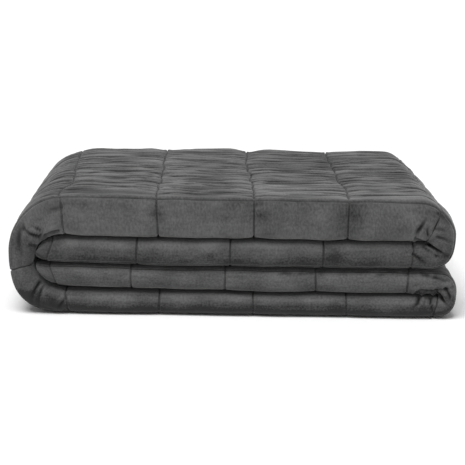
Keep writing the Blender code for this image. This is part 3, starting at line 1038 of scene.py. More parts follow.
@dataclass(frozen=True)
class Gathers:
    """Wrinkles along the strip that the tight stitching gathers up."""

    style: GatherStyle
    seed: int
    shoulder: float = 1.75  # where the cloth beside a wrinkle stands up, in widths
    shoulder_height: float = 0.42
    shoulder_width: float = 0.9  # how wide that is, in widths
    late: tuple[float, float] = (0.0, 0.25)  # how much later along its reach it may deepen
    deepens: tuple[float, float] = (-0.05, 0.08)  # shares of its reach over which it does
    fades: tuple[float, float] = (0.45, 1.0)  # and over which it fades
    felt: float = 5.0  # how many widths aside it is worked out

    def height(self, u: Array, v: Array, lines: Iterable[float], low: float, high: float) -> Array:
        """The wrinkles' relief.

        Args:
            u: places along the length.
            v: places across the width.
            lines: the lines of stitching that they run out of.
            low: the first place across the width that has them.
            high: the last one.

        Returns:
            The height at each place, below 0 in a wrinkle.
        """
        rng = np.random.default_rng(self.seed)
        style, total = self.style, np.zeros_like(u)
        for line in lines:
            for side in (-1, 1):
                at = low
                while (at := at + rng.uniform(*style.apart) * MM) < high:
                    sizes = (style.reach, style.width, style.depth)
                    reach, width, depth = (rng.uniform(*size) * MM for size in sizes)
                    lean, bow = rng.uniform(-1, 1) * style.lean, rng.uniform(-1, 1) * style.bow * MM
                    start = rng.uniform(*self.late)
                    along = (u - line) * side / reach
                    aside = self.felt * width + abs(lean) * reach + abs(bow)
                    near = (along > 0) & (along < 1) & (np.abs(v - at) < aside)
                    a = along[near]
                    off = v[near] - at - lean * reach * a - bow * np.sin(math.pi * a)
                    low_end, high_end = self.deepens
                    strength = ramp(low_end, high_end + start, a) * (1 - ramp(*self.fades, a))
                    beside = bell(np.abs(off) - self.shoulder * width, width * self.shoulder_width)
                    total[near] += depth * strength * (self.shoulder_height * beside - bell(off, width))
        return total


# ---------------------------------------------------------------- listed creases
@dataclass(frozen=True)
class Crease:
    """A soft trough in the front of a turn, as seen from the front. Sizes are in millimetres."""

    points: tuple[tuple[float, float], ...]  # (x, z) from where it is deepest
    width: float
    depth: float
    lip: float = 0.3  # height of the cloth beside it, as a share of its depth
    lip_at: float = 2.0  # how many widths away that is
    fades: tuple[float, float] = (0.35, 1.0)  # shares of its length over which it gets shallower
    faded: float = 0.75  # by how much, at its end

    def height(self, x: Array, z: Array) -> Array:
        """The relief at places seen from the front, below 0 in the trough."""
        nearest, share = np.full_like(x, np.inf), np.zeros_like(x)
        legs = list(zip(self.points, self.points[1:]))
        for number, (start, end) in enumerate(legs):
            start, along = np.array(start) * MM, (np.array(end) - np.array(start)) * MM
            t = np.clip(((x - start[0]) * along[0] + (z - start[1]) * along[1]) / (along @ along), 0, 1)
            away = np.hypot(x - start[0] - along[0] * t, z - start[1] - along[1] * t)
            closer = away < nearest
            nearest[closer] = away[closer]
            share[closer] = (number + t[closer]) / len(legs)
        width = self.width * MM
        strength = self.depth * MM * (1 - self.faded * ramp(*self.fades, share))
        return strength * (self.lip * bell(nearest - self.lip_at * width, width) - bell(nearest, width))


CREASES = (
    # The wrap, on the left: a tuck over its ends, radial folds below them and a dent in its side.
    Crease(((-185, 90), (-197, 87), (-206, 86), (-214, 88), (-220, 93), (-221, 98)), 2.0, 3.2, 0.5),
    Crease(((-200, 91), (-207, 94), (-213, 97)), 1.8, 1.8, 0.6),
    Crease(((-224, 94), (-227, 84), (-226, 73), (-223, 65)), 3.6, 1.5, 0.4),
    Crease(((-209, 75), (-215, 76), (-220, 74)), 1.8, 1.8, 0.5),
    Crease(((-202, 39), (-208, 30), (-212, 23), (-213, 14)), 2.2, 3.0, 0.5),
    Crease(((-198, 36), (-203, 28), (-206, 20), (-207, 9)), 1.9, 3.0, 0.5),
    Crease(((-192, 33), (-198, 28), (-200, 21)), 1.8, 1.8, 0.5),
    Crease(((-184, 9), (-181, 14), (-176, 21)), 1.8, 1.6, 0.5),
    Crease(((-197, 21), (-191, 16), (-184, 20)), 1.8, 1.2, 0.5),
    Crease(((-193, 13), (-188, 10), (-184, 13)), 1.6, 1.0, 0.5),
    Crease(((-181, 118), (-191, 115), (-200, 112)), 3.2, 1.2, 0.5),
    # The upper fold on the right: the crease between the bands runs on to its outer side.
    Crease(((192, 88), (199, 85), (211, 79), (220, 74), (232, 68)), 1.7, 4.2, 0.35),
    Crease(((196, 84), (205, 77), (215, 71)), 1.5, 2.6, 0.4),
    Crease(((194, 97), (198, 102), (202, 110)), 2.2, 2.4, 0.5),
    Crease(((205, 92), (203, 98), (206, 104)), 1.8, 1.8, 0.5),
    Crease(((191, 71), (199, 65), (207, 59)), 2.0, 2.4, 0.5),
    Crease(((214, 70), (225, 69), (232, 67)), 1.8, 1.4, 0.5),
    Crease(((215, 91), (223, 89), (233, 84)), 2.2, 1.4, 0.5),
    Crease(((216, 116), (224, 110), (229, 101)), 2.6, 1.2, 0.5),
    Crease(((213, 100), (221, 98), (230, 93)), 2.2, 1.0, 0.5),
    # The lower fold on the right, crumpled by the weight above it.
    Crease(((196, 29), (199, 23), (197, 18), (192, 13)), 2.0, 3.4, 0.5),
    Crease(((207, 31), (206, 22), (204, 15)), 1.8, 2.2, 0.5),
    Crease(((211, 31), (210, 24), (212, 14), (214, 6)), 1.8, 3.2, 0.5),
    Crease(((216, 31), (221, 25), (230, 15)), 1.9, 3.2, 0.5),
    Crease(((226, 35), (231, 26), (231, 19)), 1.7, 2.2, 0.5),
    Crease(((199, 31), (212, 32), (222, 33), (235, 36)), 1.7, 3.2, 0.3),
    Crease(((215, 46), (225, 43), (234, 44)), 2.4, 1.3, 0.5),
    Crease(((201, 50), (211, 46), (221, 49)), 2.6, 1.0, 0.5),
)


@dataclass(frozen=True)
class Stroke:
    """A soft patch on the front, paler as painted light where its value is above 0 and darker as painted
    shade below. Sizes in millimetres.
    """

    x: float
    z: float
    wide: float
    high: float
    lie: float  # above 0 where it is paler, below 0 where darker

    def at(self, x: Array, z: Array) -> Array:
        """The painted light and shade at places seen from the front."""
        off = ((x / MM - self.x) / self.wide) ** 2 + ((z / MM - self.z) / self.high) ** 2
        return self.lie * np.exp(-off)


STROKES = (
    # The top band: painted shade under its left corner and beside its lines of stitching.
    Stroke(-160, 121, 18, 5, -1.1),
    Stroke(-81, 111, 6, 6, -1.4),
    Stroke(28, 112, 14, 6, -0.9),
    Stroke(125, 113, 13, 8, -0.9),
    # The second band: painted light along its crown, and painted shade lower down and towards the right.
    Stroke(-150, 79, 40, 5, 0.7),
    Stroke(-50, 79, 35, 6, 0.6),
    Stroke(42, 81, 38, 5, 0.9),
    Stroke(-25, 67, 10, 4, -0.9),
    Stroke(105, 67, 12, 7, -1.0),
    Stroke(145, 75, 42, 9, -0.4),
    # The lowest band: painted light on its crown in patches, and painted shade below it.
    Stroke(-132, 20, 24, 4, 0.5),
    Stroke(69, 20, 22, 4, 0.5),
    Stroke(15, 11, 20, 5, -0.4),
    Stroke(118, 12, 14, 5, -0.4),
)


@dataclass(frozen=True)
class Swells:
    """Soft unevenness: its height in millimetres, and its waves' lengths along and across in metres."""

    height: float
    along: float
    across: float


@dataclass(frozen=True)
class NapOnTop:
    """Painted light and shade on the top and round the wrap: above 0 paler, below 0 darker."""

    by_gathers: float = 1.3  # for each millimetre that the gathers stand up, paler as painted highlight, and for each that they sink, darker as painted shade
    by_ripple: float = 1.5
    by_ridges: float = 2.2
    limits: tuple[float, float] = (-1.7, 2.6)
    wrap_evens: float = 0.45  # how much less it varies round the wrap
    wrap_down: float = 0.4  # and how much darker it is there
    left_down: float = 0.6  # in a strip behind the front corner, on the left half
    left_strip: tuple[float, float] = (0.016, 0.012)  # how far behind that is, and how wide
    right_up: float = 0.40  # at the front of the right half
    right_change: float = 1.05  # and how much darker at its back
    right_over: tuple[float, float] = (0.06, 0.18)
    bright: float = 1.8  # a painted highlight at the front end of one line of stitching
    bright_column: int = 6
    bright_wide: float = 0.016
    bright_behind: float = 0.005
    least: float = -1.35


@dataclass(frozen=True)
class NapOnFronts:
    """Painted light and shade on the fronts of the bands, which differ: paler where the cloth faces up,
    darker where it faces down, and darker on the lower bands. Lengths are in metres.
    """

    top_from: tuple[float, float] = (0.080, 0.090)  # heights at which the top band begins
    second_from: tuple[float, float] = (0.050, 0.056)
    lowest_to: tuple[float, float] = (0.024, 0.029)
    turn: float = 1.4  # how much paler, as painted light, the second band's cloth is where it faces up, and darker where it faces down
    top_turn: float = 2.0  # by how much less on the top band
    third_turn: float = 0.9  # and on the third
    lowest_turn: float = 1.4  # by how much more on the lowest
    limits: tuple[float, float] = (-2.1, 1.2)
    # painted shade: how much darker the second, the third and the lowest band are
    second_down: float = 0.45
    third_down: float = 0.05
    lowest_down: float = 1.05
    top_up: float = 0.28  # how much paler the left of the top band is
    top_change: float = 0.40  # and how much darker on its right
    middle: tuple[float, float] = (-0.03, 0.05)  # where the left goes over to the right
    wrap_down: float = 0.50  # painted shade low on the wrap
    wrap_below: tuple[float, float] = (0.020, 0.085)
    scuff: float = 1.5  # how much darker, as painted shade, the strip along the crease above the third band is
    scuff_from: tuple[float, float] = (0.045, 0.048)
    scuff_to: tuple[float, float] = (0.0535, 0.055)
    scuff_even: float = 0.6
    scuff_uneven: float = 0.9
    scuff_size: tuple[float, float] = (0.007, 0.003)
    facing: tuple[float, float] = (0.5, 0.8)  # how far a place faces the front before the patches of painted light and shade show


@dataclass(frozen=True)
class SeamShade:
    """Painted shade along the stitched grooves: how dark it is. Lengths are in metres."""

    even: float = 0.62
    uneven: float = 0.38
    size: float = 0.013  # of its unevenness
    wide: float = 0.0006
    wider_on_top: float = 0.0008
    near_corner: float = 0.003  # a place this near the corner's line belongs to it
    corner_on_wrap: float = 0.7  # how much fainter that line is round the wrap
    other_rows: float = 0.5
    column_on_wrap: float = 0.5  # how much fainter lines across are there
    from_corner: tuple[float, float] = (-0.004, 0.010)  # where the front goes over to the top


class Relief:
    """Everything that stands out of or sinks into the plain folded quilt."""

    GATHERS = Gathers(GatherStyle((10, 26), (34, 92), (2.2, 4.4), (1.00, 2.60), 0.09, 4.5), 11)
    FINE_GATHERS = Gathers(GatherStyle((5, 12), (14, 60), (1.3, 2.3), (0.50, 1.40), 0.12, 2.5), 12)
    PUCKERS = Gathers(GatherStyle((5, 11), (7, 20), (1.4, 2.4), (0.22, 0.50), 0.30, 1.0), 13)
    GATHERED_BEFORE = 0.03  # gathers also run out of a line this far before the upper fold
    TOP_GATHERED = (0.006, 0.004)  # they begin behind the corner, and end before the back fold's end
    GATHERS_GROW = 0.008  # over which length behind the corner
    PUCKERED_FROM = 0.004  # past the start of the front fold
    PUCKERS_FADE = 0.004  # on either side of the corner
    # In millimetres: height, distance from the stitching and width.
    WRAP_RIDGE = (1.0, 1.9, 1.2)  # on both sides of the row round the wrap
    CORNER_RIDGE = (1.0, 4.5, 2.6)  # behind the row along the top's front corner
    RIDGE_UNEVEN = (0.55, 0.45, 0.022, 0.02)  # the even and the uneven share, and the waves' lengths
    RIDGE_RIGHT = (0.5, 0.9)  # its share on the left, and how much more it has on the right
    RIDGE_ENDS = 0.02
    # Where wrinkles on the top slope: the line of stitching in the middle of them, the slope, and from
    # where to where behind the front corner.
    STREAM = ((8, 0.24, (0.0, 0.15)), (5, -0.18, (0.10, 0.22)))
    STREAM_WIDTH = 0.13
    STREAM_RISE, STREAM_FALL = 0.03, 0.08
    OPENS_OVER = 0.02  # how quickly the outer face comes out into the open
    FOLD_OPENS = 0.7  # how quickly the folds do: less is quicker
    LUMPS = Swells(0.70, 0.045, 0.032)
    LONG_WAVES = Swells(1.50, 0.065, 0.0150)
    FINE_WAVES = Swells(0.65, 0.030, 0.0062)
    BEND = (0.004, 0.060, 0.090)  # how far the waves bend aside, and over what lengths
    BEND_SHIFT = 7.7
    LONG_BENT = 0.4  # how far the fine waves shift the long ones
    RIPPLE_FROM = (-0.01, 0.02)  # where, behind the corner, the top's waves grow
    WRAP_FROM, WRAP_TO = 0.012, 0.02  # over what lengths the wrap's own looks begin and end
    MIDDLE_COLUMN, MIDDLE_OVER = 7, 0.03  # the line where the left half of the top goes over to the right
    # How many millimetres higher a crown comes than its stitching, and the fullness that adds nothing.
    SWELLING = (1.1, 1.1)
    RIPPLE_AT_SEAM, RIPPLE_FILLED = 0.35, 0.65
    # By how many millimetres the grooves across the strip are shallower where the top turns down behind,
    # and over what widths across them and along them.
    SHALLOWER = (0.9, 0.003, 0.035)
    WRINKLE_DARK = 1.6  # a wrinkle or crease this many millimetres deep gets the darkest painted shade
    FRONT_SEEN = (0.15, 0.55)  # how far a place faces the front before creases reach it
    RIPPLE_SEEDS = (21, 22, 23)
    RIDGE_SEED, WORN_SEED, SCUFF_SEED = 24, 25, 26
    # painted light and shade on the top and on the fronts, and painted shade along the stitched grooves
    TOP_NAP, FRONT_NAP, SEAMS = NapOnTop(), NapOnFronts(), SeamShade()

    def __init__(self, drawn: QuiltSkin, skin: Skin) -> None:
        """Reads where each point is on the flat cloth."""
        self.drawn, self.skin = drawn, skin
        self.rise_u, self.off_column = drawn.quilt.rise(skin.u, drawn.columns)
        self.rise_v, self.off_row = drawn.quilt.rise(skin.v, drawn.rows)
        self.behind = skin.v - drawn.corner
        self.streamed = self.stream()

    def stream(self) -> Array:
        """The places across the width, bent as the wrinkles on the top slope."""
        skin, bent = self.skin, self.skin.v.copy()
        for column, slope, (low, high) in self.STREAM:
            off = skin.u - self.drawn.columns[column]
            reach = ramp(0.0, self.STREAM_RISE, self.behind - low)
            reach = reach * (1 - ramp(high, high + self.STREAM_FALL, self.behind))
            bent -= slope * off * bell(off, self.STREAM_WIDTH) * reach
        return bent

    def lies_open(self, first: Part, last: Part) -> Array:
        """1 from where the first part begins to where the last one does, and 0 beyond."""
        start, end = self.drawn.path.ends[first], self.drawn.path.ends[last]
        u, over = self.skin.u, self.OPENS_OVER
        return ramp(start, start + over, u) * (1 - ramp(end - over, end, u))

    def openness(self) -> Array:
        """1 where the face lies open to the air, and 0 where it is pressed on something."""
        skin, section = self.skin, self.drawn.section
        front, back = section.span(SpanKind.FRONT_FOLD), section.span(SpanKind.BACK_FOLD)
        open_u = np.maximum(*(self.lies_open(*parts) for parts in OUTSIDE_PARTS))
        folds = np.zeros_like(skin.v)
        for start, end in (front, back):
            share = np.clip((skin.v - start) / (end - start), 0, 1)
            folds = np.maximum(folds, np.sin(math.pi * share) ** self.FOLD_OPENS)
        between = (skin.v > sum(front) / 2) & (skin.v < sum(back) / 2)
        return np.where(skin.on_face, np.maximum(folds, np.where(between, open_u, 0.0)), 0.0)

    def gathers(self) -> Array:
        """Wrinkles along the top and round the turns, and small puckers on the front."""
        skin, drawn, ends, corner = self.skin, self.drawn, self.drawn.path.ends, self.drawn.corner
        front, back = drawn.section.span(SpanKind.FRONT_FOLD), drawn.section.span(SpanKind.BACK_FOLD)
        (upper, upper_end), (lower, lower_end) = OUTSIDE_PARTS
        spans = (ends[upper] - self.GATHERED_BEFORE, ends[upper_end]), (ends[lower], ends[lower_end])
        outside = [c for c in drawn.columns if any(start < c < end for start, end in spans)]
        low, high = corner + self.TOP_GATHERED[0], back[1] - self.TOP_GATHERED[1]
        across_top = self.GATHERS.height(skin.u, self.streamed, outside, low, high)
        across_top += self.FINE_GATHERS.height(skin.u, skin.v, outside, low, high)
        across_top *= ramp(corner, corner + self.GATHERS_GROW, skin.v)
        low = front[0] + self.PUCKERED_FROM
        fronts = self.PUCKERS.height(skin.u, skin.v, drawn.columns, low, corner)
        fronts *= 1 - ramp(corner - self.PUCKERS_FADE, corner + self.PUCKERS_FADE, skin.v)
        return across_top + fronts

    def ripple(self) -> Array:
        """Soft unevenness of the filling, drawn out along the length on the top."""
        skin, corner, (low, high) = self.skin, self.drawn.corner, self.RIPPLE_FROM
        top = ramp(corner + low, corner + high, skin.v)
        lumps, long_waves, fine_waves = (Unevenness(seed) for seed in self.RIPPLE_SEEDS)
        size, along, across = self.BEND
        bend = size * lumps.at(skin.u / along + self.BEND_SHIFT, skin.v / across)
        fine = fine_waves.at(skin.u / self.FINE_WAVES.along, (skin.v + bend) / self.FINE_WAVES.across)
        place = skin.u / self.LONG_WAVES.along + self.LONG_BENT * fine
        bent = (self.streamed + bend) / self.LONG_WAVES.across
        return MM * (
            self.LUMPS.height * lumps.at(skin.u / self.LUMPS.along, skin.v / self.LUMPS.across)
            + top * self.LONG_WAVES.height * long_waves.at(place, bent)
            + top * self.FINE_WAVES.height * fine
        )

    def round_the_wrap(self) -> Array:
        """1 where the strip turns round its own ends, and 0 on its runs."""
        (start, end), u, over = self.drawn.path.leg(Part.WRAP), self.skin.u, self.WRAP_FROM
        return ramp(start - over, start + over, u) * (1 - ramp(end - self.WRAP_TO, end, u))

    def ridges(self) -> Array:
        """The cloth that stands up beside the stitching along the strip's front corner."""
        u, behind, over = self.skin.u, self.behind, self.RIDGE_ENDS
        height, away, width = (size * MM for size in self.WRAP_RIDGE)
        wrap = self.round_the_wrap() * height * bell(np.abs(behind) - away, width)
        height, away, width = (size * MM for size in self.CORNER_RIDGE)
        start, end = self.drawn.path.leg(Part.TOP)
        top = ramp(start - over, start + over, u) * (1 - ramp(end - over, end + over, u))
        even, share, along, across = self.RIDGE_UNEVEN
        uneven = even + share * Unevenness(self.RIDGE_SEED).at(u / along, behind / across)
        uneven = uneven * (self.RIDGE_RIGHT[0] + self.RIDGE_RIGHT[1] * self.to_the_right())
        return wrap + top * uneven * height * bell(behind - away, width)

    def to_the_right(self) -> Array:
        """1 on the right half of the top, and 0 on its left half."""
        middle = self.drawn.columns[self.MIDDLE_COLUMN]
        return 1 - ramp(middle - self.MIDDLE_OVER, middle + self.MIDDLE_OVER, self.skin.u)

    def creases(self, normals: Array) -> Array:
        """The listed creases, on what faces the front."""
        x, y, z = self.skin.points.T
        facing = ramp(*self.FRONT_SEEN, -normals[:, 1]) * (y < 0) * self.skin.on_face
        (start, _), (_, end) = self.drawn.path.leg(Part.TOP), self.drawn.path.leg(Part.UNDERFOOT)
        facing = facing * ((x > 0) | ((self.skin.u > start) & (self.skin.u < end)))
        return facing * sum(crease.height(x, z) for crease in CREASES)

    def apply(self) -> dict[str, Array]:
        """Moves the skin's points.

        Returns:
            For the finish, the painted shade in the stitched grooves, wrinkles and creases, and the painted
            light and shade over the top and the fronts, above 0 where paler.
        """
        skin = self.skin
        normals = skin.normals()
        openness = self.openness()
        filled = self.rise_u * self.rise_v
        gathers, creases, ripple = self.gathers(), self.creases(normals), self.ripple()
        swelling = self.SWELLING[0] * MM * (filled - self.SWELLING[1])
        ridges = self.ridges()
        back, _ = self.drawn.section.span(SpanKind.BACK_FOLD)
        size, across, along = self.SHALLOWER
        shallower = size * MM * bell(self.off_column, across) * bell(skin.v - back, along)
        soft = swelling + shallower + gathers + ridges
        soft = soft + ripple * (self.RIPPLE_AT_SEAM + self.RIPPLE_FILLED * filled)
        height = openness * soft + creases
        skin.points += normals * height[:, None]
        skin.points[:, 2] = np.maximum(skin.points[:, 2], 0.0)
        low, high = self.SEAMS.from_corner
        on_top = ramp(self.drawn.corner + low, self.drawn.corner + high, skin.v)
        stitched = self.stitched(on_top)
        # painted shade in the gathers' wrinkles and in the creases, darker the deeper they sink
        wrinkled = np.clip(-(gathers * openness + creases) / (self.WRINKLE_DARK * MM), 0.0, 1.0)
        crests = self.crests(gathers, ripple, ridges, openness)
        rolled = self.rolled(normals)
        # painted shade along the stitched grooves and in the wrinkles and creases, and painted light and
        # shade over the top and the fronts
        return {
            "hollow": np.clip(np.maximum(stitched * skin.on_face, wrinkled), 0.0, 1.0),
            "lie": crests * on_top + rolled * (1 - on_top),
        }

    def stitched(self, on_top: Array) -> Array:
        """How much painted shade the stitched grooves give each place.

        Args:
            on_top: 1 on the top and 0 on the fronts.

        Returns:
            Values from 0 to about 1.
        """
        seams, skin, wrap = self.SEAMS, self.skin, self.round_the_wrap()
        at_corner = np.abs(self.behind) < seams.near_corner
        # the painted shade along the stitching is uneven in strength
        worn = Unevenness(self.WORN_SEED).at(skin.u / seams.size, skin.v / seams.size)
        row_shows = np.where(at_corner, 1 - seams.corner_on_wrap * wrap, seams.other_rows)
        column_shows = 1 - seams.column_on_wrap * wrap
        across = column_shows * bell(self.off_column, seams.wide + seams.wider_on_top * on_top)
        along = row_shows * bell(self.off_row, seams.wide)
        return (seams.even + seams.uneven * worn) * np.maximum(across, along)

    def crests(self, gathers: Array, ripple: Array, ridges: Array, openness: Array) -> Array:
        """The painted light and shade on the top and round the wrap, by the relief and by place.

        Args:
            gathers: the gathers' relief.
            ripple: the filling's.
            ridges: that beside the front corner's stitching.
            openness: 1 where the face lies open.

        Returns:
            Values above 0 where it is paler.
        """
        nap, behind, right, wrap = self.TOP_NAP, self.behind, self.to_the_right(), self.round_the_wrap()
        # painted highlight on the relief's crests and painted shade in its dips
        relief = nap.by_gathers * gathers + nap.by_ripple * ripple + nap.by_ridges * ridges
        crests = np.clip(relief * openness / MM, *nap.limits)
        crests = crests * (1 - nap.wrap_evens * wrap) - nap.wrap_down * wrap
        crests = crests - nap.left_down * bell(behind - nap.left_strip[0], nap.left_strip[1]) * (1 - right)
        crests = crests + right * (nap.right_up - nap.right_change * ramp(*nap.right_over, behind))
        # a painted highlight at the front end of one line of stitching
        beside = bell(self.skin.u - self.drawn.columns[nap.bright_column], nap.bright_wide)
        crests = crests + nap.bright * beside * bell(behind - nap.bright_behind, nap.bright_behind)
        return np.maximum(crests, nap.least)

    def rolled(self, normals: Array) -> Array:
        """The painted light and shade on the fronts, which differs from band to band."""
        nap, (x, _, z) = self.FRONT_NAP, self.skin.points.T
        upper, second = ramp(*nap.top_from, z), ramp(*nap.second_from, z)
        lowest = 1 - ramp(*nap.lowest_to, z)
        third = (1 - second) * (1 - lowest)
        turned = nap.turn - nap.top_turn * upper - nap.third_turn * third + nap.lowest_turn * lowest
        # painted light where the cloth faces up and painted shade where it faces down
        lie = np.clip(normals[:, 2] * turned, *nap.limits)
        # painted shade on the lower bands
        lie = lie - nap.second_down * (second - upper) - nap.third_down * third - nap.lowest_down * lowest
        lie = lie + (nap.top_up - nap.top_change * ramp(*nap.middle, x)) * upper
        lie = lie - nap.wrap_down * self.round_the_wrap() * (1 - ramp(*nap.wrap_below, z))
        # painted shade along the crease between the second and the third band, on the right half
        scuffed = ramp(*nap.scuff_from, z) * (1 - ramp(*nap.scuff_to, z)) * ramp(*nap.middle, x)
        patches = Unevenness(self.SCUFF_SEED).at(x / nap.scuff_size[0], z / nap.scuff_size[1])
        lie = lie - nap.scuff * scuffed * (nap.scuff_even + nap.scuff_uneven * patches)
        front = ramp(*nap.facing, -normals[:, 1]) * self.skin.on_face
        # patches of painted light and shade where the cloth faces the front
        return lie + front * sum(stroke.at(x, z) for stroke in STROKES)


# ---------------------------------------------------------------- finishes
@dataclass(frozen=True)
class BrushedPlush:
    """Brushed polyester plush: a knit whose raised pile takes light softly, with paler and darker patches
    where the nap lies one way or the other, and a faint bloom at grazing angles. Its colour also carries
    painted light and shade: painted highlights on crests, and painted shade in grooves, wrinkles and creases."""

    name: str = "brushed_polyester_plush"
    # the dark end serves both the nap lying down and painted shade, the pale end both the nap lying up and
    # painted highlight
    nap_down: str = "#2A2A2A"
    nap_up: str = "#7F7F7F"
    # the colour of the painted shade in the stitched grooves, wrinkles and creases
    in_hollow: str = "#1E1E1E"
    details: tuple[float, ...] = (4.0, 2.0, 2.0)  # of the patches, the streaks and the tufts
    shifts: tuple[float, ...] = (4.7, 1.3, 0.0)  # so that they don't line up
    noise_roughness: float = 0.55
    # How much the painted light and shade, the patches, the streaks and the tufts add to how pale the pile
    # looks, and the sums at which it is wholly dark and wholly pale.
    shares: tuple[float, float, float, float] = (0.36, 0.90, 0.40, 0.80)
    all_down: float = 0.45
    all_up: float = 2.25
    pile: float = 0.0006  # the height of the bumps
    tuft_relief: float = 0.35
    streak_relief: float = 0.5
    roughness: float = 0.92
    shine: float = 0.2
    sheen: float = 0.45
    sheen_roughness: float = 0.42
    sheen_tint: str = "#DCDCDC"
    patch: tuple[float, float] = (0.032, 0.026)  # a stroked patch, along and across
    streak: tuple[float, float] = (0.045, 0.0040)  # a streak of the nap beside a gather
    tuft: float = 0.0022  # the pile's tufts, drawn coarse enough to show

    def build(self, cloth: Sequence[float]) -> bpy.types.Material:
        """Makes the material.

        Args:
            cloth: the size, in metres, that the piece's UV map stands for.

        Returns:
            The material.
        """
        constants = {
            "Roughness": self.roughness,
            "Specular IOR Level": self.shine,
            "Sheen Weight": self.sheen,
            "Sheen Roughness": self.sheen_roughness,
            "Sheen Tint": linear(self.sheen_tint),
        }
        material, tree, shader = new_material(self.name, constants)
        flat = add_node(tree, "ShaderNodeUVMap", {"uv_map": "cloth"}).outputs["UV"]

        def waves(size: tuple[float, float], detail: float, shift: float) -> bpy.types.NodeSocket:
            """Noise of that size on the flat cloth."""
            scale = (cloth[0] / size[0], cloth[1] / size[1], 1.0)
            place = add_node(
                tree, "ShaderNodeMapping", {}, {"Vector": flat, "Scale": scale, "Location": (shift, shift, 0)}
            )
            noise = add_node(
                tree, "ShaderNodeTexNoise", {"noise_dimensions": "2D"},
                {
                    "Vector": place.outputs["Vector"],
                    "Scale": 1.0,
                    "Detail": detail,
                    "Roughness": self.noise_roughness,
                },
            )
            return noise.outputs["Fac"]

        sizes = (self.patch, self.streak, (self.tuft, self.tuft))
        patches, streaks, tufts = (waves(*each) for each in zip(sizes, self.details, self.shifts))
        # the quilt's painted light and shade, with the random patches, streaks and tufts added to it
        stroked = add_node(tree, "ShaderNodeAttribute", {"attribute_name": "lie"}).outputs["Fac"]
        for marks, share in zip((stroked, patches, streaks, tufts), self.shares):
            added = {0: marks, 1: share, 2: 0.0 if marks is stroked else stroked}
            stroked = add_node(tree, "ShaderNodeMath", {"operation": "MULTIPLY_ADD"}, added).outputs[0]
        limits = {"Value": stroked, "From Min": self.all_down, "From Max": self.all_up}
        share = add_node(tree, "ShaderNodeMapRange", {}, limits).outputs["Result"]
        napped = mixed(tree, share, linear(self.nap_down), linear(self.nap_up))
        # darkens the pile towards that colour, as painted shade
        hollow = add_node(tree, "ShaderNodeAttribute", {"attribute_name": "hollow"}).outputs["Fac"]
        tree.links.new(mixed(tree, hollow, napped, linear(self.in_hollow)), shader.inputs["Base Color"])
        bump = {}
        for relief, strength in ((tufts, self.tuft_relief), (streaks, self.streak_relief)):
            inputs = {"Height": relief, "Strength": strength, "Distance": self.pile, **bump}
            bump = {"Normal": add_node(tree, "ShaderNodeBump", {}, inputs).outputs["Normal"]}
        tree.links.new(bump["Normal"], shader.inputs["Normal"])
        return material


@dataclass(frozen=True)
class SpunThread:
    """Spun polyester sewing thread, dyed to match the pile: matt and dark."""

    name: str = "spun_polyester_thread"
    shade: str = "#2C2C2C"
    lit: str = "#3A3A3A"
    roughness: float = 0.75
    sheen: float = 0.2
    band_scale: float = 500 / 9  # more draws its faint diagonal bands of shade closer together

    def build(self) -> bpy.types.Material:
        """Makes the material, with faint bands of a lighter shade."""
        constants = {"Roughness": self.roughness, "Sheen Weight": self.sheen}
        material, tree, shader = new_material(self.name, constants)
        place = add_node(tree, "ShaderNodeTexCoord").outputs["Object"]
        bands = add_node(
            tree, "ShaderNodeTexWave", {"bands_direction": "DIAGONAL"},
            {"Vector": place, "Scale": self.band_scale, "Distortion": 1.0},
        )
        colour = mixed(tree, bands.outputs["Fac"], linear(self.shade), linear(self.lit))
        tree.links.new(colour, shader.inputs["Base Color"])
        return material


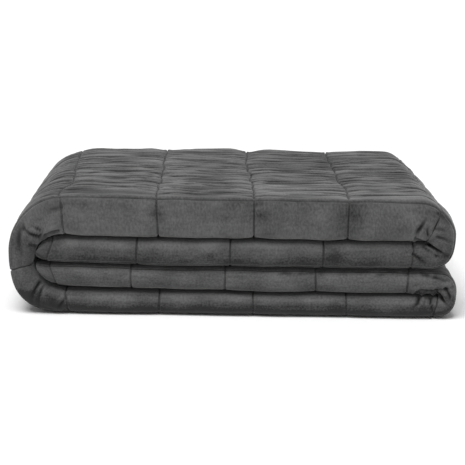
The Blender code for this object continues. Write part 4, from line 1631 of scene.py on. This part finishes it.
# ---------------------------------------------------------------- the blanket
@dataclass
class Blanket:
    """The folded quilt and its stitches."""

    quilt: Quilt = Quilt()
    stack: Stack = Stack()
    grain: Grain = Grain()
    stitch_pitch: float = 0.0036
    stitch_length: float = 0.0030
    stitch_radius: float = 0.00034
    stitch_faces: tuple[int, int] = (6, 4)  # round a stitch and along it
    stitch_proud: float = -0.0001  # how far the thread's middle lies above the bottom of the groove
    hem_seam_apart: float = 0.0028  # the hem has a second line of stitching this far out

    def build(self) -> list[bpy.types.Object]:
        """Builds the quilt and its stitches, and logs how many faces each has.

        Returns:
            The finished objects.
        """
        drawn = QuiltSkin(self.quilt, self.stack, self.grain)
        skin = drawn.build()
        skin.points = Settling(self.stack).moved(skin.points)
        plain = skin.points.copy()
        marks = Relief(drawn, skin).apply()
        skin.points = Clearance().moved(plain, skin.points, skin.triangles)
        cloth = (drawn.path.length, 2 * drawn.section.width)
        quilt = self.mesh_object("quilt", skin, cloth, marks, BrushedPlush().build(cloth))
        stitches = self.stitches(drawn, skin, SpunThread().build())
        for piece in (quilt, stitches):
            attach(piece, BODY)
            LOG.info("%s: %d faces", piece.name, len(piece.data.polygons))
        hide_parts(NODE)
        return [quilt, stitches]

    @staticmethod
    def mesh_object(
        name: str, skin: Skin, cloth: Sequence[float], marks: dict[str, Array], finish: bpy.types.Material
    ) -> bpy.types.Object:
        """Makes the skin an object.

        Args:
            name: the object's name.
            skin: the quilt's surface.
            cloth: the flat size that the UV map stands for.
            marks: values at each point, for the finish.
            finish: the material.

        Returns:
            The object.
        """
        mesh = bpy.data.meshes.new(name)
        mesh.from_pydata(skin.points.tolist(), [], skin.triangles.tolist())
        mesh.update()
        corners = skin.triangles.ravel()
        ring = skin.ring[skin.triangles]
        at_join = np.ptp(ring, axis=1)[:, None] > cloth[1] / 2
        ring = np.where(at_join & (ring == 0), cloth[1], ring)
        layer = mesh.uv_layers.new(name="cloth", do_init=False)
        flat = np.stack([skin.u[corners] / cloth[0], ring.ravel() / cloth[1]], axis=1)
        layer.uv.foreach_set("vector", flat.astype(np.float32).ravel())
        for mark, values in marks.items():
            attribute = mesh.attributes.new(mark, "FLOAT", "POINT")
            attribute.data.foreach_set("value", values.astype(np.float32))
        mesh.shade_smooth()
        mesh.materials.append(finish)
        return put_in_scene(name, mesh)

    def seam_runs(self, drawn: QuiltSkin, skin: Skin) -> list[Array]:
        """The points of each line of stitching that shows, in order along it."""
        front, back = drawn.section.span(SpanKind.FRONT_FOLD), drawn.section.span(SpanKind.BACK_FOLD)
        margin = drawn.grain.near_fold / 2
        normals = skin.normals()
        lifted = skin.points + normals * self.stitch_proud
        path, runs = drawn.path, []

        def shows(u: float, v: float) -> bool:
            """Whether stitching at that place on the face can be seen."""
            at_fold = any(start - margin < v < end + margin for start, end in (front, back))
            outer = any(path.ends[start] < u < path.ends[end] for start, end in OUTSIDE_PARTS)
            return at_fold or (outer and front[1] <= v <= back[0])

        ends = [drawn.columns[0] - self.hem_seam_apart, drawn.columns[-1] + self.hem_seam_apart]
        for line in [*drawn.columns, *ends]:
            run: list[Array] = []
            for row, v, face in zip(skin.rows, skin.row_v, skin.row_face):
                at = int(np.abs(skin.u[row] - line).argmin())
                if face and shows(line, v) and abs(skin.u[row][at] - line) < self.hem_seam_apart / 3:
                    run.append(lifted[row[at]])
                elif face:
                    runs.append(np.array(run))
                    run = []
        for line in drawn.rows[FACE_ROWS]:
            number = int(np.where(skin.row_face, np.abs(skin.row_v - line), np.inf).argmin())
            row = skin.rows[number]
            open_here = np.array([shows(u, line) and not drawn.hidden_run(u) for u in skin.u[row]])
            for part in np.split(row, np.flatnonzero(np.diff(open_here.astype(int))) + 1):
                if open_here[np.searchsorted(row, part[0])]:
                    runs.append(lifted[part])
        return [run for run in runs if len(run) > 2]

    def stitch_tree(self) -> bpy.types.NodeTree:
        """A tree that lays stitches along the lines of its input mesh."""
        tree = bpy.data.node_groups.new("stitches_along_lines", "GeometryNodeTree")
        interface = tree.interface
        interface.new_socket("Lines", in_out="INPUT", socket_type="NodeSocketGeometry")
        for name in ("Pitch", "Stitch Length", "Thread Radius"):
            interface.new_socket(name, in_out="INPUT", socket_type="NodeSocketFloat")
        interface.new_socket("Thread", in_out="INPUT", socket_type="NodeSocketMaterial")
        interface.new_socket("Stitches", in_out="OUTPUT", socket_type="NodeSocketGeometry")
        given = add_node(tree, "NodeGroupInput").outputs
        curves = add_node(tree, "GeometryNodeMeshToCurve", {}, {"Mesh": given["Lines"]})
        spots = add_node(
            tree, "GeometryNodeCurveToPoints", {"mode": "LENGTH"},
            {"Curve": curves.outputs[0], "Length": given["Pitch"]},
        )
        around, along = self.stitch_faces
        ball = {"Segments": around, "Rings": along, "Radius": 1.0}
        grain = add_node(tree, "GeometryNodeMeshUVSphere", {}, ball)
        halved = {0: given["Stitch Length"], 1: 0.5}
        half = add_node(tree, "ShaderNodeMath", {"operation": "MULTIPLY"}, halved)
        size = add_node(
            tree, "ShaderNodeCombineXYZ", {},
            {"X": given["Thread Radius"], "Y": given["Thread Radius"], "Z": half.outputs[0]},
        )
        laid = add_node(
            tree, "GeometryNodeInstanceOnPoints", {},
            {
                "Points": spots.outputs["Points"],
                "Instance": grain.outputs["Mesh"],
                "Rotation": spots.outputs["Rotation"],
                "Scale": size.outputs[0],
            },
        )
        real = add_node(tree, "GeometryNodeRealizeInstances", {}, {"Geometry": laid.outputs[0]})
        smooth = add_node(tree, "GeometryNodeSetShadeSmooth", {}, {"Geometry": real.outputs[0]})
        dressed = add_node(
            tree, "GeometryNodeSetMaterial", {}, {"Geometry": smooth.outputs[0], "Material": given["Thread"]}
        )
        add_node(tree, "NodeGroupOutput", {}, {"Stitches": dressed.outputs[0]})
        return tree

    def stitches(self, drawn: QuiltSkin, skin: Skin, thread: bpy.types.Material) -> bpy.types.Object:
        """The stitches along every line that shows, as one mesh.

        Args:
            drawn: where the lines of stitching are.
            skin: the surface that they lie on.
            thread: their material.

        Returns:
            The object.
        """
        points, edges = [], []
        for run in self.seam_runs(drawn, skin):
            edges += [(len(points) + i, len(points) + i + 1) for i in range(len(run) - 1)]
            points += run.tolist()
        lines = bpy.data.meshes.new("seam_lines")
        lines.from_pydata(points, edges, [])
        guide = put_in_scene("seam_lines", lines)
        modifier = guide.modifiers.new("stitches", "NODES")
        modifier.node_group = self.stitch_tree()
        given = {
            "Pitch": self.stitch_pitch,
            "Stitch Length": self.stitch_length,
            "Thread Radius": self.stitch_radius,
            "Thread": thread,
        }
        for item in modifier.node_group.interface.items_tree:
            if item.in_out == "INPUT" and item.name in given:
                modifier[item.identifier] = given[item.name]
        graph = bpy.context.evaluated_depsgraph_get()
        mesh = bpy.data.meshes.new_from_object(guide.evaluated_get(graph))
        bpy.data.objects.remove(guide)
        mesh.name = "stitches"
        return put_in_scene("stitches", mesh)


# ---------------------------------------------------------------- the studio
@dataclass(frozen=True)
class SoftLight:
    """Light from a wide, far panel: the way to it, how wide it looks and how strong it is."""

    name: str
    way: tuple[float, float, float]
    wide_deg: float
    strength: float


@dataclass(frozen=True)
class Studio:
    """A plain pale floor, soft light and the camera."""

    floor_size: float = 40.0
    floor_colour: str = "#FEFEFE"
    floor_roughness: float = 0.8
    sky_colour: str = "#FFFFFF"
    sky_strength: float = 0.37
    lamps: tuple[SoftLight, ...] = (SoftLight("key", (-0.20, -0.34, 1.0), 40.0, 2.7),)
    eye: tuple[float, float, float] = (0.0001, -1.9432, 0.4865)
    yaw_deg: float = 0.04
    down_deg: float = 12.62
    roll_deg: float = 0.80
    lens: float = 132.4
    sensor: float = 36.0

    def build(self) -> None:
        """Puts up the floor, the light and the camera."""
        self.floor()
        self.light()
        self.camera()
        bpy.context.scene.view_settings.view_transform = "Standard"

    def floor(self) -> None:
        """A wide pale floor, which isn't part of the object."""
        half = self.floor_size / 2
        mesh = bpy.data.meshes.new("floor")
        corners = [(-half, -half, 0.0), (half, -half, 0.0), (half, half, 0.0), (-half, half, 0.0)]
        mesh.from_pydata(corners, [], [(0, 1, 2, 3)])
        constants = {"Base Color": linear(self.floor_colour), "Roughness": self.floor_roughness}
        mesh.materials.append(new_material("matt_white_board", constants)[0])
        put_in_scene("floor", mesh)

    def light(self) -> None:
        """Pale light from all round and soft lamps."""
        world = bpy.data.worlds.new("studio")
        world.use_nodes = True
        sky = world.node_tree.nodes["Background"]
        sky.inputs["Color"].default_value = linear(self.sky_colour)
        sky.inputs["Strength"].default_value = self.sky_strength
        bpy.context.scene.world = world
        for lamp in self.lamps:
            data = bpy.data.lights.new(lamp.name, "SUN")
            data.angle, data.energy = math.radians(lamp.wide_deg), lamp.strength
            light = bpy.data.objects.new(lamp.name, data)
            light.rotation_mode = "QUATERNION"
            light.rotation_quaternion = Vector(lamp.way).to_track_quat("Z", "Y")
            bpy.context.scene.collection.objects.link(light)

    def camera(self) -> None:
        """The camera, at the height, distance and angle that the object is seen from."""
        yaw, down, roll = (math.radians(a) for a in (self.yaw_deg, self.down_deg, self.roll_deg))
        ahead = Vector((-math.sin(yaw) * math.cos(down), math.cos(yaw) * math.cos(down), -math.sin(down)))
        level = Vector((math.cos(yaw), math.sin(yaw), 0.0))
        upright = level.cross(ahead)
        right = math.cos(roll) * level + math.sin(roll) * upright
        up = math.cos(roll) * upright - math.sin(roll) * level
        data = bpy.data.cameras.new("camera")
        data.lens, data.sensor_width = self.lens, self.sensor
        camera = bpy.data.objects.new("camera", data)
        turn = Matrix((right, up, -ahead)).transposed().to_4x4()
        camera.matrix_world = Matrix.Translation(self.eye) @ turn
        bpy.context.scene.collection.objects.link(camera)
        bpy.context.scene.camera = camera


def main() -> None:
    """Sets up logging and builds the blanket and the studio."""
    logging.basicConfig(level=logging.INFO, format="%(name)s: %(message)s")
    Blanket().build()
    Studio().build()


if __name__ == "__main__":
    main()
